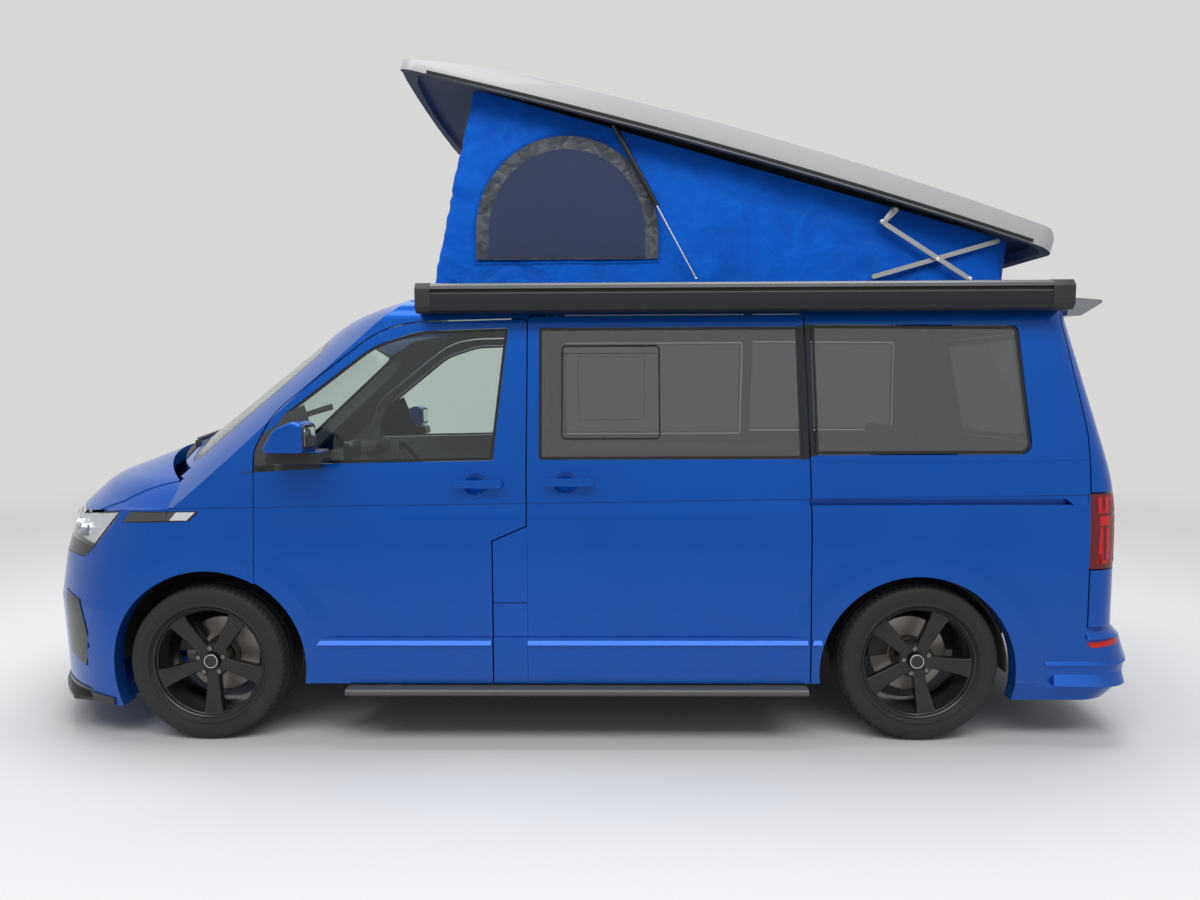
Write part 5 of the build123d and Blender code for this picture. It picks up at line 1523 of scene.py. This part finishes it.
class VAN_OT_cab_details(bpy.types.Operator):
    """Fit the steering wheel, the panels' lining and the dashboard's screen, vents and binnacle"""

    bl_idname = "van.cab_details"
    bl_label = "Cab details"

    def execute(self, context):
        self.steering_wheel()
        for side, sign in SIDES.items():
            lining(f"door_lining_{side}", f"front_door_{side}", sign, 0.62, f"door_{side}")
            lining(f"cabin_lining_{side}", "body_shell", sign, 0.95, "van")
        screen = rounded_box(-0.125, 0.125, 1.090, 1.215, 0.012)
        slab("dash_screen", screen, "front", -1.150, -1.130, "gloss black", bevel_width=0.004)
        bm = bmesh.new()
        for y in (-0.70, -0.34, 0.12, 0.70):
            ring(bm, rounded_box(y - 0.065, y + 0.065, 0.955, 1.010, 0.012, 3), 0.007, "front", -1.014, -0.994)
            for row in range(4):
                z = 0.967 + row * 0.0105
                prism(bm, box(y - 0.058, y + 0.058, z, z + 0.003), "front", -1.012, -0.998)
        finish_mesh(bm, "dash_vents", "black trim")
        hood = [(0.235, 1.120, 0.02), (0.565, 1.120, 0.02), (0.545, 1.185, 0.04), (0.255, 1.185, 0.04)]
        hood = rounded_outline(hood)
        slab("dash_binnacle", hood, "front", -1.26, -1.085, "cabin plastic", bevel_width=0.008, segments=3)
        return {"FINISHED"}

    def steering_wheel(self):
        """Build the rim, and the boss with its three spokes and column."""
        tilt = math.radians(32.0)
        ahead = Vector((-math.cos(tilt), 0.0, -math.sin(tilt)))
        turn = Matrix((RIGHT, ahead.cross(RIGHT), ahead)).transposed().to_4x4()
        place = Matrix.Translation(Vector((-0.905, 0.400, 1.050)) + ahead * 0.013) @ turn
        bm = bmesh.new()
        upright = Matrix.Translation((0.170, 0, 0)) @ Matrix.Rotation(math.pi / 2, 4, "X")
        circle = bmesh.ops.create_circle(bm, segments=14, radius=0.0155, matrix=upright)
        spin_round(bm, circle["verts"] + list(bm.edges), (0, 0, 0), UP, 56)
        bmesh.ops.transform(bm, matrix=place, verts=bm.verts)
        rim = finish_mesh(bm, "steering_rim", "seat leather", "van", 60.0)
        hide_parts("steering_wheel")
        bm = bmesh.new()
        boss = bmesh.ops.create_cone(bm, cap_ends=True, segments=36, radius1=0.062, radius2=0.074, depth=0.036)["verts"]
        bevel(bm, sharp_edges(boss), 0.007, 3, clamp=False)
        for angle in (0.0, math.pi, math.pi * 1.5):
            out = Matrix.Rotation(angle, 4, "Z") @ Matrix.Translation((0.112, 0, 0.004))
            out = out @ Matrix.Diagonal((0.10, 0.030, 0.014, 1.0))
            spoke = bmesh.ops.create_cube(bm, size=1.0, matrix=out)["verts"]
            bevel(bm, list({edge for vertex in spoke for edge in vertex.link_edges}), 0.004, clamp=False)
        bmesh.ops.create_cone(
            bm, cap_ends=True, segments=28, radius1=0.028, radius2=0.034, depth=0.085,
            matrix=Matrix.Translation((0, 0, 0.060)),
        )
        bmesh.ops.transform(bm, matrix=place, verts=bm.verts)
        finish_mesh(bm, "steering_boss", "cabin plastic")


class VAN_OT_plates(bpy.types.Operator):
    """Fit blank number plates, the tailgate's handle and the sliding window's inner frame"""

    bl_idname = "van.plates"
    bl_label = "Plates and small fittings"

    def execute(self, context):
        nose = BVHTree.FromBMesh(node_bmesh("front_bumper"))
        tail = BVHTree.FromBMesh(node_bmesh("tailgate"))
        plate = rounded_box(-0.260, 0.260, -0.0555, 0.0555, 0.010)
        for name, body, at, z, out in (
            ("front", "van", hit(nose, (-3.5, 0.0, 0.62), REAR).x, 0.62, -1.0),
            ("rear", "tailgate_lid", hit(tail, (3.5, 0.0, 0.93), -REAR).x, 0.93, 1.0),
        ):
            holder = [(a * 1.02, z + b * 1.10) for a, b in plate]
            slab(f"plate_holder_{name}", holder, "front", at - out * 0.006, at + out * 0.007, "black trim", body, 0.002)
            face = [(a, z + b) for a, b in plate]
            slab(f"plate_{name}", face, "front", at + out * 0.006, at + out * 0.0095, "plate white", body, 0.0008)
        at = hit(tail, (3.5, 0.0, 1.045), -REAR).x
        grip = [(-0.30, 1.028, 0.010), (0.30, 1.028, 0.010), (0.30, 1.066, 0.012), (-0.30, 1.066, 0.012)]
        slab(
            "tailgate_handle", rounded_outline(grip, 4), "front", at - 0.006, at + 0.014, "gloss black",
            "tailgate_lid", 0.005, 3,
        )
        panes = BVHTree.FromBMesh(node_bmesh("side_glass"))
        spot, normal, _, _ = panes.ray_cast(Vector((0.2, -1.5, 1.45)), RIGHT)
        bm = bmesh.new()
        ring(bm, rounded_box(-0.012, 0.429, 1.273, 1.676, 0.035, 6), 0.007, "side", spot.y - 0.0035, spot.y + 0.001)
        lean = Matrix.Rotation(math.atan2(normal.z, -normal.y), 4, "X")
        bmesh.ops.transform(bm, matrix=lean, verts=bm.verts, space=Matrix.Translation((0.0, -spot.y, -1.45)))
        finish_mesh(bm, "sliding_window_frame", "seal")
        return {"FINISHED"}


def seen_directly(nodes, links):
    """Node whose value is 1 for camera, glossy and transmission rays."""
    path = add(nodes, "LightPath")
    first = add(nodes, "Math", operation="MAXIMUM")
    all_rays = add(nodes, "Math", operation="MAXIMUM")
    connect(
        links, (path, "Is Camera Ray", first, 0), (path, "Is Glossy Ray", first, 1), (first, 0, all_rays, 0),
        (path, "Is Transmission Ray", all_rays, 1),
    )
    return all_rays


class VAN_OT_stage(bpy.types.Operator):
    """Lay the floor and backdrop, hang the lights and set up the camera"""

    bl_idname = "van.stage"
    bl_label = "Stage"

    def execute(self, context):
        scene = context.scene
        settings = scene.van_stage
        scene.view_settings.view_transform = "Standard"
        self.floor(scene, tuple(settings.floor_colour))
        self.backdrop(scene, tuple(settings.floor_colour))
        self.lights(scene)
        self.camera(scene, settings)
        return {"FINISHED"}

    def floor(self, scene, colour):
        """Floor that fades into the backdrop and throws little light up at the van."""
        bm = bmesh.new()
        bmesh.ops.create_grid(bm, x_segments=1, y_segments=1, size=60.0)
        mesh = bpy.data.meshes.new("floor")
        bm.to_mesh(mesh)
        bm.free()
        floor = bpy.data.objects.new("floor", mesh)
        scene.collection.objects.link(floor)
        ground, nodes, links, shader = base_material("floor", colour, 0.6)
        place = add(nodes, "TexCoord")
        cloud = add(nodes, "TexNoise", {"Scale": 30.0})
        ramp = add(nodes, "MapRange", {"To Min": 0.55, "To Max": 0.7})
        glow = add(nodes, "Emission", {"Color": (*colour, 1.0)})
        far = add(nodes, "VectorMath", operation="LENGTH")
        fade = add(nodes, "MapRange", {"From Min": 3.0, "From Max": 11.0}, interpolation_type="SMOOTHSTEP")
        seen = seen_directly(nodes, links)
        tone = blend(nodes, (0.3, 0.3, 0.3), colour)
        share = add(nodes, "Math", operation="MULTIPLY")
        mix = add(nodes, "MixShader")
        out = next(node for node in nodes if node.type == "OUTPUT_MATERIAL")
        connect(
            links, (place, "Object", cloud, "Vector"), (cloud, "Fac", ramp, "Value"),
            (ramp, "Result", shader, "Roughness"), (place, "Object", far, 0), (far, "Value", fade, "Value"),
            (seen, 0, tone, "Factor"), (tone, "Result", shader, "Base Color"), (seen, 0, share, 0),
            (fade, "Result", share, 1), (share, 0, mix, "Fac"), (shader, 0, mix, 1), (glow, 0, mix, 2),
            (mix, 0, out, "Surface"),
        )
        mesh.materials.append(ground)

    def backdrop(self, scene, colour):
        """World that lights the van with a dim cool sky and is seen as the floor's colour."""
        world = bpy.data.worlds.new("studio")
        world.use_nodes = True
        scene.world = world
        nodes, links = world.node_tree.nodes, world.node_tree.links
        nodes.clear()
        out = add(nodes, "OutputWorld")
        mix = add(nodes, "MixShader")
        lit = add(nodes, "Background", {"Color": (0.9, 0.93, 1.0, 1.0), "Strength": 0.38})
        shown = add(nodes, "Background", {"Color": (*colour, 1.0), "Strength": 1.0})
        seen = seen_directly(nodes, links)
        connect(links, (seen, 0, mix, "Fac"), (lit, 0, mix, 1), (shown, 0, mix, 2), (mix, 0, out, "Surface"))

    def lights(self, scene):
        """Three broad lamps: near the camera, above and behind."""
        for name, place, size, power, aim in (
            ("near", (0.0, -5.2, 7.0), (11.0, 2.6), 410.0, (0.0, -0.6, 1.0)),
            ("top", (0.0, 0.5, 8.0), (9.0, 3.0), 520.0, (0.0, 0.0, 1.0)),
            ("back", (0.0, 6.5, 6.5), (9.0, 2.6), 170.0, (0.0, 0.0, 1.5)),
        ):
            lamp = bpy.data.lights.new(name, "AREA")
            lamp.shape = "RECTANGLE"
            lamp.size, lamp.size_y = size
            lamp.energy = power
            holder = bpy.data.objects.new(name, lamp)
            scene.collection.objects.link(holder)
            holder.location = place
            holder.rotation_mode = "QUATERNION"
            holder.rotation_quaternion = (Vector(aim) - Vector(place)).to_track_quat("-Z", "Y")

    def camera(self, scene, settings):
        """Camera where the photograph's camera stood."""
        pitch, yaw, roll = settings.pitch, settings.yaw, settings.roll
        ahead = Vector((-math.sin(yaw) * math.cos(pitch), math.cos(yaw) * math.cos(pitch), -math.sin(pitch)))
        right = Vector((math.cos(yaw), math.sin(yaw), 0.0))
        leaned = right * math.cos(roll) + ahead.cross(right) * math.sin(roll)
        below = ahead.cross(leaned)
        camera = bpy.data.cameras.new("camera")
        camera.sensor_width = 36.0
        camera.lens = settings.lens
        holder = bpy.data.objects.new("camera", camera)
        scene.collection.objects.link(holder)
        turn = Matrix((leaned, -below, -ahead)).transposed().to_4x4()
        holder.matrix_world = Matrix.Translation(Vector(settings.eye)) @ turn
        scene.camera = holder


class VAN_PT_panel(bpy.types.Panel):
    """Lists the van's settings and pieces"""

    bl_idname = "VAN_PT_panel"
    bl_label = "Camper Van"
    bl_space_type = "VIEW_3D"
    bl_region_type = "UI"
    bl_category = "Camper Van"

    def draw(self, context):
        layout = self.layout
        for name in SETTINGS:
            settings = getattr(context.scene, name)
            for field in settings.bl_rna.properties:
                if field.identifier not in ("rna_type", "name"):
                    layout.prop(settings, field.identifier)
        for operator in OPERATORS:
            layout.operator(operator.bl_idname)


SETTINGS = {
    "van_body": VanBodySettings,
    "van_wheels": VanWheelSettings,
    "van_roof": VanRoofSettings,
    "van_stage": VanStageSettings,
}
OPERATORS = (
    VAN_OT_body_panels, VAN_OT_plain_parts, VAN_OT_tyres, VAN_OT_rims, VAN_OT_panes, VAN_OT_handles,
    VAN_OT_front_strips, VAN_OT_headlamps, VAN_OT_tail_lamps, VAN_OT_front_bumper_details, VAN_OT_rear_bumper_details,
    VAN_OT_mirrors, VAN_OT_awning, VAN_OT_roof_shell, VAN_OT_tent, VAN_OT_tent_windows, VAN_OT_arm_pins,
    VAN_OT_wipers, VAN_OT_front_seats, VAN_OT_rear_bench, VAN_OT_cab_details, VAN_OT_plates, VAN_OT_stage,
)


def register():
    for name, settings in SETTINGS.items():
        bpy.utils.register_class(settings)
        setattr(bpy.types.Scene, name, bpy.props.PointerProperty(type=settings))
    for operator in OPERATORS:
        bpy.utils.register_class(operator)
    bpy.utils.register_class(VAN_PT_panel)


def unregister():
    bpy.utils.unregister_class(VAN_PT_panel)
    for operator in reversed(OPERATORS):
        bpy.utils.unregister_class(operator)
    for name, settings in SETTINGS.items():
        delattr(bpy.types.Scene, name)
        bpy.utils.unregister_class(settings)


def main():
    register()
    for operator in OPERATORS:
        group, name = operator.bl_idname.split(".")
        getattr(getattr(bpy.ops, group), name)()


if __name__ == "__main__":
    main()
